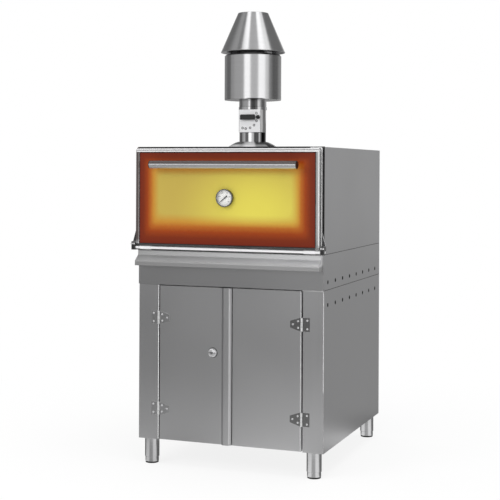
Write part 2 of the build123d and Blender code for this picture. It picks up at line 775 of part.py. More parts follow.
def fire_chamber():
    """Welded steel box with a throat at the front, a flue hole, grate bearers and rack runners."""
    floor, roof = BASE_DECK_TOP + CHAMBER_WALL, CHAMBER_TOP - CHAMBER_WALL
    rear = CHAMBER_BACK - CHAMBER_WALL
    front = FRONT + SHEET + SEAT
    sill = MOUTH_LOW - CHAMBER_WALL
    chamber = block(-CHAMBER_HALF, CHAMBER_HALF, front, CHAMBER_BACK, BASE_DECK_TOP, CHAMBER_TOP)
    chamber += block(-CHAMBER_HALF, CHAMBER_HALF, CHAMBER_FRONT, front, sill, CHAMBER_TOP)
    chamber -= block(-CHAMBER_IN, CHAMBER_IN, front + CHAMBER_WALL, rear, floor, roof)
    chamber -= block(-CHAMBER_IN, CHAMBER_IN, CHAMBER_FRONT, rear, MOUTH_LOW, roof)
    chamber -= post_z(0, FLUE_AXIS_Y, roof, CHAMBER_TOP, PIPE_IN)
    shelves = [(GRATE_BEARER_Z, BEARER_W, BEARER_T)]
    shelves += [(z, RUNNER_W, RUNNER_T) for z in RUNNER_HEIGHTS]
    for top, width, thick in shelves:
        for side in (-1, 1):
            x0, x1 = sorted((side * CHAMBER_IN, side * (CHAMBER_IN - width)))
            chamber += block(x0, x1, front, rear, top - thick, top)
    return chamber


def insulation():
    """Fibre blocks left, right, behind and above the chamber."""
    out = HALF_W - SHEET - SEAT
    y0, y1 = FRONT + SHEET + SEAT, BACK - SHEET - SEAT
    near = CHAMBER_HALF + SEAT
    low = BASE_DECK_TOP
    neck_out = HALF_W - SHELL_RETURN - SEAT
    neck_low = OVEN_LOW + NECK_INSET + SHEET + SEAT
    side = block(near, out, y0, y1, low, CHAMBER_TOP)
    side += block(near, neck_out, CHAMBER_FRONT + SEAT, y0, neck_low, CHAMBER_TOP)
    back = block(-CHAMBER_HALF, CHAMBER_HALF, CHAMBER_BACK + SEAT, y1, low, CHAMBER_TOP)
    top = block(-out, out, y0, y1, CHAMBER_TOP + SEAT, OVEN_TOP - SHEET - SEAT)
    top -= post_z(0, FLUE_AXIS_Y, CHAMBER_TOP, OVEN_TOP, PIPE_R + SHEET)
    return side, mirrored(side), back, top


def charcoal_grate():
    """Cast grate with long slots, lying on the bearers."""
    half = CHAMBER_IN - GRATE_SIDE_GAP
    y0 = FRONT + CHAMBER_FRONT_GAP
    y1 = CHAMBER_BACK - CHAMBER_WALL - CHAMBER_REAR_GAP
    grate = block(-half, half, y0, y1, GRATE_BEARER_Z, GRATE_BEARER_Z + GRATE_T)
    pitch = (2 * half - 2 * GRATE_RIM - GRATE_SLOT_W) / (GRATE_SLOTS - 1)
    first = -half + GRATE_RIM + GRATE_SLOT_W / 2
    middle = (y0 + y1) / 2
    slots = []
    for i in range(GRATE_SLOTS):
        x = first + i * pitch
        for a, b in ((y0 + GRATE_RIM, middle - GRATE_RIM / 2), (middle + GRATE_RIM / 2, y1 - GRATE_RIM)):
            x0, x1 = x - GRATE_SLOT_W / 2, x + GRATE_SLOT_W / 2
            slots.append(block(x0, x1, a, b, GRATE_BEARER_Z, GRATE_BEARER_Z + GRATE_T))
    return grate - slots


def ash_pan():
    """Open tray on the chamber floor, under the grate."""
    half = CHAMBER_IN - ASH_PAN_SIDE_GAP
    y0 = FRONT + CHAMBER_FRONT_GAP
    y1 = CHAMBER_BACK - CHAMBER_WALL - CHAMBER_REAR_GAP
    low = BASE_DECK_TOP + CHAMBER_WALL
    pan = block(-half, half, y0, y1, low, low + ASH_PAN_H)
    return pan - block(-half + SHEET, half - SHEET, y0 + SHEET, y1 - SHEET, low + SHEET, low + ASH_PAN_H)


def grill_rack():
    """Wire rack on the lower runners: a round-rod rim with bars from front to back."""
    half = CHAMBER_IN - RACK_SIDE_GAP - RACK_ROD_D / 2
    y0 = FRONT + CHAMBER_FRONT_GAP + RACK_ROD_D / 2
    y1 = CHAMBER_BACK - CHAMBER_WALL - CHAMBER_REAR_GAP - RACK_ROD_D / 2
    z = RUNNER_HEIGHTS[0] + RACK_ROD_D / 2
    radius = RACK_ROD_D / 2
    rim = [rod_x(-half, half, y, z, radius) for y in (y0, y1)]
    rim += [rod_y(x, y0, y1, z, radius) for x in (-half, half)]
    rim += [Pos(x, y, z) * Sphere(radius) for x in (-half, half) for y in (y0, y1)]
    pitch = 2 * half / (RACK_BARS + 1)
    bars = [rod_y(-half + (i + 1) * pitch, y0, y1, z, RACK_BAR_D / 2) for i in range(RACK_BARS)]
    return rim[0] + rim[1:] + bars


# Oven door

def door_frame():
    """Bright bezel round the enamelled panel, with rounded edges and corners."""
    back = DOOR_BACK - SHEET
    ring = block(-OVEN_DOOR_HALF, OVEN_DOOR_HALF, DOOR_FRONT, back, OVEN_DOOR_LOW, OVEN_DOOR_HIGH)
    ring = fillet(ring.edges().filter_by(Axis.Y), TRIM_CORNER)
    ring = fillet(edges_at_y(ring, DOOR_FRONT), TRIM_ROUND)
    return ring - block(-ENAMEL_HALF, ENAMEL_HALF, DOOR_FRONT, back, ENAMEL_LOW, ENAMEL_HIGH)


def gauge_hole(y0, y1, diameter):
    return rod_y(0, y0, y1, GAUGE_Z, diameter / 2 + SEAT)


def enamel_panel():
    """Enamelled sheet set in the bezel, slightly sunk."""
    half = ENAMEL_HALF - SEAT
    low, high = ENAMEL_LOW + SEAT, ENAMEL_HIGH - SEAT
    panel = block(-half, half, ENAMEL_FACE, ENAMEL_FACE + ENAMEL_T, low, high)
    return panel - gauge_hole(ENAMEL_FACE, ENAMEL_FACE + ENAMEL_T, GAUGE_BOSS_D)


def inner_half():
    return MOUTH_HALF - INNER_PAN_GAP


def inner_low():
    return MOUTH_LOW + INNER_PAN_GAP


def inner_high():
    return MOUTH_HIGH - INNER_PAN_GAP


def door_core():
    """Insulating board behind the enamel, with a block that fills the inner pan."""
    half = ENAMEL_HALF - SEAT
    y0, y1 = ENAMEL_FACE + ENAMEL_T, DOOR_BACK - SHEET
    core = block(-half, half, y0, y1, ENAMEL_LOW + SEAT, ENAMEL_HIGH - SEAT)
    inset = SHEET + SEAT
    x = inner_half() - inset
    end = DOOR_BACK + INNER_PAN_DEPTH - inset
    core += block(-x, x, y1, end, inner_low() + inset, inner_high() - inset)
    core -= gauge_hole(y0, y1, GAUGE_BOSS_D)
    return core - gauge_hole(y1, end, STEM_D)


def door_plug():
    """Inner pan of the door: a flange behind the bezel and a plug that enters the mouth."""
    margin = TRIM_ROUND
    y0 = DOOR_BACK - SHEET
    half = OVEN_DOOR_HALF - margin
    plate = block(-half, half, y0, DOOR_BACK, OVEN_DOOR_LOW + margin, OVEN_DOOR_HIGH - margin)
    end = DOOR_BACK + INNER_PAN_DEPTH
    x = inner_half()
    pan = block(-x, x, y0, end, inner_low(), inner_high())
    hollow = block(-x + SHEET, x - SHEET, y0, end - SHEET, inner_low() + SHEET, inner_high() - SHEET)
    return plate + pan - hollow - gauge_hole(end - SHEET, end, STEM_D)


def rope_seal():
    """Fibre rope round the mouth, between the door's flange and the front frame."""
    y0, y1 = DOOR_BACK, FRAME_FACE - SEAT
    inner = MOUTH_HALF + ROPE_OUT
    low, high = MOUTH_LOW - ROPE_OUT, MOUTH_HIGH + ROPE_OUT
    outer = inner + ROPE_W
    ring = block(-outer, outer, y0, y1, low - ROPE_W, high + ROPE_W)
    ring = fillet(ring.edges().filter_by(Axis.Y), ROPE_W)
    return ring - block(-inner, inner, y0, y1, low, high)


def door_barrel():
    """Right hinge barrel under the door, running on the rod."""
    x1 = OVEN_DOOR_HALF - BARREL_INSET
    x0 = x1 - BARREL_L
    y = FRONT + ROD_Y
    barrel = rod_x(x0, x1, y, ROD_Z, BARREL_D / 2)
    barrel += block(x0, x1, y - BARREL_WEB_T / 2, y + BARREL_WEB_T / 2, ROD_Z, OVEN_DOOR_LOW)
    barrel -= block(x0, x1, y - BARREL_D, y + BARREL_D, OVEN_DOOR_LOW, OVEN_DOOR_LOW + BARREL_D)
    return barrel - rod_x(x0, x1, y, ROD_Z, ROD_D / 2 + RUNNING)


def handle_tube():
    half = HANDLE_L / 2 - HANDLE_CAP_T
    tube = rod_x(-half, half, HANDLE_AXIS_Y, HANDLE_Z, HANDLE_D / 2)
    return tube - rod_x(-half, half, HANDLE_AXIS_Y, HANDLE_Z, HANDLE_D / 2 - HANDLE_WALL)


def handle_cap():
    """Right end cap, with its plug inside the tube."""
    x1 = HANDLE_L / 2
    x0 = x1 - HANDLE_CAP_T
    cap = rod_x(x0, x1, HANDLE_AXIS_Y, HANDLE_Z, HANDLE_D / 2)
    cap = fillet(edges_at_x(cap, x1), HANDLE_CAP_ROUND)
    return cap + rod_x(x0 - HANDLE_CAP_PLUG, x0, HANDLE_AXIS_Y, HANDLE_Z, HANDLE_D / 2 - HANDLE_WALL)


def handle_post():
    """Right post from the enamelled panel to the tube, saddled to the tube's round."""
    x = HANDLE_L / 2 - HANDLE_POST_INSET
    post = rod_y(x, HANDLE_AXIS_Y, ENAMEL_FACE, HANDLE_Z, HANDLE_POST_D / 2)
    post += rod_y(x, ENAMEL_FACE - HANDLE_POST_BASE_T, ENAMEL_FACE, HANDLE_Z, HANDLE_POST_BASE_D / 2)
    return post - rod_x(x - HANDLE_D, x + HANDLE_D, HANDLE_AXIS_Y, HANDLE_Z, HANDLE_D / 2)


# Thermometer

def gauge_inside():
    """Inner radius of the thermometer's case."""
    return GAUGE_D / 2 - GAUGE_WALL


def gauge_case():
    """Bezel and case on the enamel, with the stem that reaches into the chamber."""
    case = rod_y(0, GAUGE_FRONT, ENAMEL_FACE, GAUGE_Z, GAUGE_D / 2)
    case = fillet(edges_at_y(case, GAUGE_FRONT), GAUGE_LIP_T)
    lip = GAUGE_FRONT + GAUGE_LIP_T
    case -= rod_y(0, lip, ENAMEL_FACE - GAUGE_FLOOR_T, GAUGE_Z, gauge_inside())
    case -= rod_y(0, GAUGE_FRONT, lip, GAUGE_Z, gauge_inside() - GAUGE_LIP)
    boss_end = DOOR_BACK - SHEET
    case += rod_y(0, ENAMEL_FACE, boss_end, GAUGE_Z, GAUGE_BOSS_D / 2)
    case += rod_y(0, boss_end, DOOR_BACK + INNER_PAN_DEPTH + STEM_REACH, GAUGE_Z, STEM_D / 2)
    return case - rod_y(0, ENAMEL_FACE - GAUGE_FLOOR_T, ENAMEL_FACE, GAUGE_Z, NEEDLE_SHAFT_D / 2 + RUNNING)


def gauge_dial():
    dial = rod_y(0, DIAL_FACE, DIAL_FACE + DIAL_T, GAUGE_Z, gauge_inside() - SEAT)
    return dial - rod_y(0, DIAL_FACE, DIAL_FACE + DIAL_T, GAUGE_Z, NEEDLE_SHAFT_D / 2 + RUNNING)


def gauge_glass():
    lip = GAUGE_FRONT + GAUGE_LIP_T
    return rod_y(0, lip, lip + GLASS_T, GAUGE_Z, gauge_inside() - SEAT)


def gauge_needle():
    """Pointer with its tail, hub and shaft, at its cold position low on the left."""
    y1 = DIAL_FACE - NEEDLE_GAP
    y0 = y1 - NEEDLE_T
    half, tip = NEEDLE_W / 2, NEEDLE_TIP_W / 2
    lower = [(-NEEDLE_TAIL, -half), (0, -half), (NEEDLE_L, -tip)]
    upper = [(NEEDLE_L, tip), (0, half), (-NEEDLE_TAIL, half)]
    pointer = slab_xz(lower + upper, y0, y1)
    pointer = Pos(0, 0, GAUGE_Z) * (Rot(0, -NEEDLE_REST_DEG, 0) * pointer)
    hub = rod_y(0, y0 - NEEDLE_T, y1, GAUGE_Z, NEEDLE_HUB_D / 2)
    return pointer + hub + rod_y(0, y1, ENAMEL_FACE - SEAT, GAUGE_Z, NEEDLE_SHAFT_D / 2)


# Flue

def flue_collar():
    """Domed collar on the oven's top, spun from sheet."""
    low, high = OVEN_TOP, OVEN_TOP + COLLAR_H
    outer, neck = COLLAR_D / 2, COLLAR_NECK_D / 2
    bore = PIPE_R + SEAT
    mid_r = (outer + neck + COLLAR_BULGE) / 2
    mid_z = (low + high) / 2 + COLLAR_BULGE
    mid = Vector(mid_r, 0, mid_z)
    mid_in = Vector(mid_r - COLLAR_T, 0, mid_z - COLLAR_T)
    rim_out = Vector(outer, 0, low)
    rim_in = Vector(outer - 2 * COLLAR_T, 0, low)
    edges = [
        ThreePointArc(rim_out, mid, Vector(neck, 0, high)),
        Line(Vector(neck, 0, high), Vector(bore, 0, high)),
        Line(Vector(bore, 0, high), Vector(bore, 0, high - COLLAR_T)),
        Line(Vector(bore, 0, high - COLLAR_T), Vector(neck - COLLAR_T, 0, high - COLLAR_T)),
        ThreePointArc(Vector(neck - COLLAR_T, 0, high - COLLAR_T), mid_in, rim_in),
        Line(rim_in, rim_out),
    ]
    return Pos(0, FLUE_AXIS_Y, 0) * revolve(make_face(Curve() + edges), Axis.Z)


def flue_pipe():
    """Pipe from the chamber's roof up to the spigot, with a seat ring and damper holes."""
    top = RING_Z + RING_H + SPIGOT_L
    ring_r = RING_D / 2
    outline = [
        (PIPE_IN, CHAMBER_TOP),
        (PIPE_R, CHAMBER_TOP),
        (PIPE_R, RING_Z),
        (ring_r, RING_Z),
        (ring_r, RING_Z + RING_H),
        (PIPE_R, RING_Z + RING_H),
        (PIPE_R, top),
        (PIPE_IN, top),
    ]
    pipe = turned(outline, 0, FLUE_AXIS_Y)
    hole = DAMPER_SHAFT_D / 2 + RUNNING
    return pipe - rod_y(0, FLUE_AXIS_Y - PIPE_D, FLUE_AXIS_Y + PIPE_D, DAMPER_Z, hole)


def scale_plate():
    """Folded cover in front of the pipe, marked with the damper's scale."""
    low, high = OVEN_TOP + PLATE_LOW, OVEN_TOP + PLATE_HIGH
    back = PLATE_FACE + PLATE_SIDE_DEPTH
    plate = block(-PLATE_LEFT, PLATE_RIGHT, PLATE_FACE, PLATE_FACE + SHEET, low, high)
    plate += block(PLATE_RIGHT - SHEET, PLATE_RIGHT, PLATE_FACE, back, low, high)
    plate += block(PLATE_RIGHT - PIPE_R, PLATE_RIGHT, back - SHEET, back, low, high)
    plate += block(-PLATE_LEFT, -PLATE_LEFT + SHEET, PLATE_FACE, back, low, high)
    plate -= post_z(0, FLUE_AXIS_Y, low, high, PIPE_R + SEAT)
    plate -= rod_y(0, PLATE_FACE, PLATE_FACE + SHEET, DAMPER_Z, DAMPER_SHAFT_D / 2 + RUNNING)
    return largest_solid(plate)


def largest_solid(shape):
    """The biggest piece left after a cut."""
    return sorted(shape.solids(), key=lambda s: s.volume)[-1]


def lever_front():
    return PLATE_FACE - LEVER_GAP - LEVER_T


def damper_shaft():
    """Shaft through the pipe with a flat for the disc, a stop collar and the lever welded on."""
    y0 = lever_front()
    y1 = FLUE_AXIS_Y + PIPE_R + SEAT + SHAFT_COLLAR_T
    radius = DAMPER_SHAFT_D / 2
    shaft = rod_y(0, y0, y1, DAMPER_Z, radius)
    inside = PIPE_IN - DISC_GAP
    flat = DAMPER_Z + DAMPER_FLAT
    shaft -= block(-radius, radius, FLUE_AXIS_Y - inside, FLUE_AXIS_Y + inside, flat, DAMPER_Z + radius)
    shaft += rod_y(0, y1 - SHAFT_COLLAR_T, y1, DAMPER_Z, SHAFT_COLLAR_D / 2)
    half = LEVER_W / 2
    lever = block(-LEVER_TAIL, LEVER_L, y0, y0 + LEVER_T, DAMPER_Z - half, DAMPER_Z + half)
    lever = fillet(lever.edges().filter_by(Axis.Y), LEVER_ROUND)
    return shaft + lever + rod_x(LEVER_L, KNOB_X, y0 + LEVER_T / 2, DAMPER_Z, LEVER_ROD_D / 2)


def damper_disc():
    """Butterfly disc on the shaft's flat, closed at rest."""
    low = DAMPER_Z + DAMPER_FLAT
    reach = sqrt(PIPE_IN**2 - (DAMPER_FLAT + DISC_T) ** 2) - DISC_GAP
    return post_z(0, FLUE_AXIS_Y, low, low + DISC_T, reach)


def damper_knob():
    """Ball on the lever's end."""
    y = lever_front() + LEVER_T / 2
    ball = Pos(KNOB_X, y, DAMPER_Z) * Sphere(KNOB_D / 2)
    return ball - rod_x(KNOB_X - KNOB_D, KNOB_X, y, DAMPER_Z, LEVER_ROD_D / 2)


def firebreak():
    """Drum with a socket over the pipe, an open outlet and a baffle disc inside."""
    socket_in = PIPE_R + RUNNING
    socket_out = socket_in + SOCKET_WALL
    socket_low = RING_Z + RING_H + SEAT
    drum_r = DRUM_D / 2
    outlet = DRUM_OUTLET_D / 2
    shoulder = drum_r - DRUM_SHOULDER
    socket_high = RING_Z + RING_H + SPIGOT_L + SEAT
    shoulder_z = DRUM_TOP - DRUM_SHOULDER
    outline = [
        (socket_in, socket_low),
        (socket_out, socket_low),
        (socket_out, DRUM_Z),
        (drum_r, DRUM_Z),
        (drum_r, shoulder_z),
        (shoulder, DRUM_TOP),
        (outlet, DRUM_TOP),
        (outlet, DRUM_TOP - SHEET),
        (shoulder - SHEET / 2, DRUM_TOP - SHEET),
        (drum_r - SHEET, shoulder_z - SHEET / 2),
        (drum_r - SHEET, DRUM_Z + SHEET),
        (socket_out, DRUM_Z + SHEET),
        (socket_out, socket_high),
        (socket_in, socket_high),
    ]
    drum = turned(outline, 0, FLUE_AXIS_Y)
    baffle_z = DRUM_Z + BAFFLE_RISE
    drum += post_z(0, FLUE_AXIS_Y, baffle_z, baffle_z + SHEET, BAFFLE_D / 2)
    half = BAFFLE_LEG_W / 2
    strip = block(-half, half, BAFFLE_LEG_R, BAFFLE_LEG_R + SHEET, DRUM_Z, baffle_z + SHEET)
    for i in range(BAFFLE_LEGS):
        drum += Pos(0, FLUE_AXIS_Y, 0) * (Rot(0, 0, i * 360 / BAFFLE_LEGS) * strip)
    return drum


def hat_cone():
    """Open-topped cone above the drum, on three tabs welded inside it."""
    base, top = HAT_D / 2, HAT_TOP_D / 2
    wall = SHEET * sqrt((base - top) ** 2 + HAT_H**2) / HAT_H
    solid = turned([(0, HAT_Z), (base, HAT_Z), (top, HAT_TOP), (0, HAT_TOP)], 0, FLUE_AXIS_Y)
    section = [(base - wall, HAT_Z), (base, HAT_Z), (top, HAT_TOP), (top - wall, HAT_TOP)]
    shell = turned(section, 0, FLUE_AXIS_Y)
    tab_top = HAT_Z + HAT_H * (base - HAT_TAB_R) / (base - top)
    half = HAT_TAB_W / 2
    tab = block(-half, half, HAT_TAB_R, HAT_TAB_R + HAT_TAB_T, DRUM_TOP + SEAT, tab_top)
    under = [(0, DRUM_TOP), (base, DRUM_TOP), (base, HAT_Z), (0, HAT_Z)]
    for i in range(HAT_TABS):
        placed = Pos(0, FLUE_AXIS_Y, 0) * (Rot(0, 0, i * 360 / HAT_TABS) * tab)
        below = placed & turned(under, 0, FLUE_AXIS_Y)
        shell = shell + (placed & solid) + below
    return shell


os.makedirs("parts", exist_ok=True)

# Stand
write("legs", *[leg(x, y) for x, y in leg_places().values()])
for place, (leg_x, leg_y) in leg_places().items():
    write("foot_" + place, foot(leg_x, leg_y))
write("stand_side_left", stand_side())
write("stand_side_right", mirrored(stand_side()))
write("stand_back", stand_back())
write("stand_floor", stand_floor())
write("stand_deck", stand_deck())
write("front_posts", front_post(), mirrored(front_post()))
write("door_magnets", magnet(MEET_LEFT - MAGNET_FROM_EDGE), magnet(MEET_RIGHT + MAGNET_FROM_EDGE))

# Stand hinges
post_leaves = [post_leaf(z) for z in HINGE_HEIGHTS]
door_leaves = [door_leaf(z) for z in HINGE_HEIGHTS]
post_screws = [hinge_screw(x, z) for x, z in post_screw_places()]
door_screws = [hinge_screw(x, z) for x, z in door_screw_places()]
write("post_hinge_leaves", *post_leaves, *[mirrored(s) for s in post_leaves])
write("post_hinge_screws", *post_screws, *[mirrored(s) for s in post_screws])

# Stand doors
write("left_door", left_door())
write("left_door_grip", left_door_grip())
write("left_door_hinge_leaves", *door_leaves)
write("left_door_screws", *door_screws)
write("lock_case", lock_case())
write("lock_plug", lock_plug())
write("right_door", right_door())
write("right_door_hinge_leaves", *[mirrored(s) for s in door_leaves])
write("right_door_screws", *[mirrored(s) for s in door_screws])

# Oven base and shell
write("base_skirt", base_skirt())
write("base_deck", base_deck())
write("fascia", fascia())
write("ash_ledge", ash_ledge())
write("oven_side_left", oven_side())
write("oven_side_right", mirrored(oven_side()))
write("oven_wrap", oven_wrap())
write("front_frame", front_frame())
write("hinge_brackets", hinge_bracket(), mirrored(hinge_bracket()))
write("hinge_rod", hinge_rod())
write("dome_nuts", *[face_nut(side * (HALF_W + place)) for side in (-1, 1) for place in FACE_NUT_PLACES])

# Fire chamber
write("fire_chamber", fire_chamber())
write("insulation", *insulation())
write("charcoal_grate", charcoal_grate())
write("ash_pan", ash_pan())
write("grill_rack", grill_rack())

# Oven door
write("door_frame", door_frame())
write("enamel_panel", enamel_panel())
write("door_core", door_core())
write("door_plug", door_plug())
write("rope_seal", rope_seal())
write("door_barrels", door_barrel(), mirrored(door_barrel()))
write("handle_tube", handle_tube())
write("handle_caps", handle_cap(), mirrored(handle_cap()))
write("handle_posts", handle_post(), mirrored(handle_post()))
write("gauge_case", gauge_case())
write("gauge_dial", gauge_dial())
write("gauge_glass", gauge_glass())
write("gauge_needle", gauge_needle())

# Flue
write("flue_collar", flue_collar())
write("flue_pipe", flue_pipe())
write("scale_plate", scale_plate())
write("damper_shaft", damper_shaft())
write("damper_disc", damper_disc())
write("damper_knob", damper_knob())
write("firebreak", firebreak())
write("hat_cone", hat_cone())
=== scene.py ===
# %% [markdown]
# # A charcoal grill oven
# This lesson dresses a CAD model of a charcoal grill oven on its stand. Keeping the solids and giving them
# bevels, finishes and small parts keeps every size true.

# %% Load the frame
import json
import math
import bmesh
import bpy
from functools import partial
from mathutils import Matrix, Vector


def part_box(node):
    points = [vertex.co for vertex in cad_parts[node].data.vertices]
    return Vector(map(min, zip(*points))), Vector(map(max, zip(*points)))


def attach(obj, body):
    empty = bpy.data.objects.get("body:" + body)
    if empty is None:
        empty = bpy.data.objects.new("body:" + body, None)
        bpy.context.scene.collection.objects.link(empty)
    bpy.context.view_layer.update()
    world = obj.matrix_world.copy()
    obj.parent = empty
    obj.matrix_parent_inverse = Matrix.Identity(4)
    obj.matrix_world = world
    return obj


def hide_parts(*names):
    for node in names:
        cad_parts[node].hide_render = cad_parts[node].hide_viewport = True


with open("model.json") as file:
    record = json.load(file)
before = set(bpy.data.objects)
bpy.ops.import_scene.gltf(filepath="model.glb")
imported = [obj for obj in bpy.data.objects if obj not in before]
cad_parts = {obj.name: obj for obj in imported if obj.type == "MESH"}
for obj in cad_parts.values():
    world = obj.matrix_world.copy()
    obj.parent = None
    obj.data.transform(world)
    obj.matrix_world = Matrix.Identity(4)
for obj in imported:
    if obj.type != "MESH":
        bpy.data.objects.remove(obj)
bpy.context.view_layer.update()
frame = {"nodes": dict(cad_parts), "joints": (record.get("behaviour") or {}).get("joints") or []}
nodes = frame["nodes"]

# %% [markdown]
# The photograph was taken with a long lens from the right of the oven, with upright lines kept upright.
# A tilted camera would make them lean, so the camera stays level and the lens is shifted down instead,
# as an architect's camera does.

# %% Camera
OVEN_HEART = Vector((0, 0, 0.9))

def given(thing, **settings):
    for key, value in settings.items():
        setattr(thing, key, value)
    return thing

def shown(name, data):
    """A new object in the scene."""
    made = bpy.data.objects.new(name, data)
    bpy.context.scene.collection.objects.link(made)
    return made

lens = given(bpy.data.cameras.new("camera"), sensor_width=36.0, lens=86.05, shift_y=-0.1602, clip_end=60.0)
camera = shown("camera", lens)
camera.location = (1.7774, -4.8647, 1.2165)
camera.rotation_euler = [math.radians(angle) for angle in (90.0, -0.26, 20.64)]
bpy.context.scene.camera = camera
bpy.context.scene.view_settings.view_transform = "Standard"
print("camera", round((camera.location - OVEN_HEART).length, 2), "m away")

# %% [markdown]
# The finishes, the floor and the world are all trees of nodes, and need the same few things again and again.
# Long chains of calls would hide what a finish does, so these helpers add a node with its values and links, and do sums.

# %% Helpers for node trees
WHITE = (1.0, 1.0, 1.0, 1.0)

def is_socket(value):
    return isinstance(value, bpy.types.NodeSocket)

def feed(made, inputs):
    """Gives sockets of a node a plain value or another node's output."""
    for key, value in dict(inputs).items():
        if is_socket(value):
            made.id_data.links.new(value, made.inputs[key])
        else:
            made.inputs[key].default_value = value
    return made

def node(tree, kind, inputs=(), **settings):
    return feed(given(tree.nodes.new(kind), **settings), inputs)

def maths(operation, *terms, clamp=False):
    """A sum, in the tree that its sockets belong to."""
    tree = next(term.id_data for term in terms if is_socket(term))
    return node(tree, "ShaderNodeMath", enumerate(terms), operation=operation, use_clamp=clamp).outputs[0]

times, minus = partial(maths, "MULTIPLY"), partial(maths, "SUBTRACT")
scaled = partial(maths, "MULTIPLY_ADD")  # a value times a second one, plus a third

def vectors(operation, *terms):
    return node(terms[0].id_data, "ShaderNodeVectorMath", enumerate(terms), operation=operation).outputs

def step(value, low, high):
    """A soft step from 0 at one value to 1 at another."""
    limits = {"Value": value, "From Min": low, "From Max": high}
    return node(value.id_data, "ShaderNodeMapRange", limits, interpolation_type="SMOOTHSTEP").outputs[0]

print("node helpers ready")

# %% [markdown]
# Colours are picked on a screen, but light adds up on a linear scale, so they are turned into light here.
# A finish also has to know where on its piece a point lies, which needs no picture wrapped round the piece.

# %% Helpers for colours and places
def blend(factor, first, second):
    """A colour between two, by a value that changes over the surface."""
    sockets = {"Factor": factor, "A": first, "B": second}
    return node(factor.id_data, "ShaderNodeMix", sockets, data_type="RGBA").outputs["Result"]

def mix_shaders(factor, first, second):
    return node(factor.id_data, "ShaderNodeMixShader", {0: factor, 1: first, 2: second}).outputs[0]

def ramp(factor, stops):
    made = node(factor.id_data, "ShaderNodeValToRGB", {0: factor})
    elements = made.color_ramp.elements
    while len(elements) < len(stops):
        elements.new(0.5)
    for element, (place, colour) in zip(elements, stops):
        element.position = place
        element.color = colour
    return made.outputs[0]

def to_linear(screen):
    """What a screen grey is worth as light."""
    return screen / 12.92 if screen <= 0.04045 else ((screen + 0.055) / 1.055) ** 2.4

def paint(*screen):
    """A screen colour as the linear colour that Blender's sockets take."""
    return tuple(to_linear(c) for c in screen) + (1.0,)

def grey(screen):
    return paint(screen, screen, screen)

def place_on(tree):
    """Where a point lies on its piece, in metres."""
    return node(tree, "ShaderNodeTexCoord").outputs["Object"]

def axes(tree):
    """X, Y and Z of that place."""
    return node(tree, "ShaderNodeSeparateXYZ", {0: place_on(tree)}).outputs

def blank(name):
    made = bpy.data.materials.new(name)
    made.use_nodes = True
    tree = made.node_tree
    return made, tree, tree.nodes["Principled BSDF"]

print("middle grey as light:", round(to_linear(0.5), 3))

# %% [markdown]
# Stainless steel has hardly any colour of its own: what one sees in it is the room.
# The bands on the round flue come from bright windows and dark walls around the oven.
# The world gives metal such a room, as ramps of grey by compass direction, from the low walls up to the ceiling.

# %% Shades of the room
ROOM_STRENGTH = 1.5
ROOM = [
    (-180, 0.46), (-150, 0.3), (-112, 0.26), (-108, 0.17), (-84, 0.17), (-78, 0.38), (-64, 0.4), (-58, 0.48),
    (-18, 0.5), (-13, 1.5), (8, 1.5), (12, 0.66), (40, 0.66), (44, 1.5), (69, 1.4), (74, 0.88), (86, 0.8),
    (90, 0.34), (104, 0.22), (110, 0.13), (136, 0.16), (150, 0.5), (180, 0.48),
]
LOW_WALL = [
    (-100, 0.2), (-90, 0.24), (-74, 0.4), (-56, 0.44), (-46, 0.2), (6, 0.16), (14, 0.24),
    (30, 0.5), (56, 0.5), (62, 1.2), (96, 1.2), (106, 0.2),
]
HIGH_WALL = [
    (-180, 0.15), (-125, 0.25), (-100, 0.42), (-70, 0.5), (-50, 0.62), (-36, 0.64), (-31, 1.8), (-4, 1.8), (2, 0.62),
    (45, 0.62), (50, 1.8), (77, 1.8), (83, 1.0), (106, 0.8), (114, 0.5), (146, 0.42), (180, 0.2),
]
CEILING = [
    (-140, 0.21), (-120, 0.7), (-70, 0.7), (-50, 0.21), (40, 0.21), (52, 0.8), (96, 0.8), (112, 0.21),
]

def on_turn(degrees):
    """An angle, with 0 straight ahead, as a place on a ramp that goes once round."""
    return (degrees + 180) / 360

def turn_from(radians):
    """The same for an angle inside a tree."""
    return scaled(radians, 0.5 / math.pi, 0.5)

def by_compass(turn, shades):
    """Light by compass direction, as a share of the room's strength."""
    shares = [(angle, light / ROOM_STRENGTH) for angle, light in shades]
    return ramp(turn, [(on_turn(angle), (share, share, share, 1.0)) for angle, share in shares])

print("room has", len(ROOM), "shades")

# %% [markdown]
# A plain white room would make all steel look like paper, and a picture of a real room would put its things into every panel.
# So rays off shiny metal see the ramps and one long lamp, and the camera and matt surfaces see plain white.

# %% Studio world
world = bpy.data.worlds.new("studio")
bpy.context.scene.world = world
world.use_nodes = True
room = world.node_tree
room.nodes.clear()
way = node(room, "ShaderNodeSeparateXYZ", {0: node(room, "ShaderNodeTexCoord").outputs["Generated"]}).outputs
compass = maths("ARCTAN2", way["X"], times(way["Y"], -1.0))
turn = turn_from(compass)
lamp_wide = times(step(compass, -0.95, -0.85), step(compass, 0.15, 0.05))
lamp_tall = times(step(way["Z"], 0.26, 0.30), step(way["Z"], 0.44, 0.40))
shades = by_compass(turn, ROOM)
shades = blend(step(way["Z"], 0.24, 0.34), shades, by_compass(turn, LOW_WALL))
shades = blend(step(way["Z"], 0.72, 0.78), shades, by_compass(turn, HIGH_WALL))
shades = blend(times(lamp_wide, lamp_tall), shades, WHITE)
shades = blend(step(way["Z"], 0.83, 0.87), shades, by_compass(turn, CEILING))
path = node(room, "ShaderNodeLightPath").outputs
seen_room, plain, paper = [
    node(room, "ShaderNodeBackground", {"Color": colour, "Strength": strength}).outputs[0]
    for colour, strength in ((shades, ROOM_STRENGTH), (WHITE, 0.82), (WHITE, 1.0))
]
by_gloss = mix_shaders(path["Is Glossy Ray"], plain, seen_room)
looked_at = maths("MAXIMUM", path["Is Camera Ray"], path["Is Transmission Ray"])
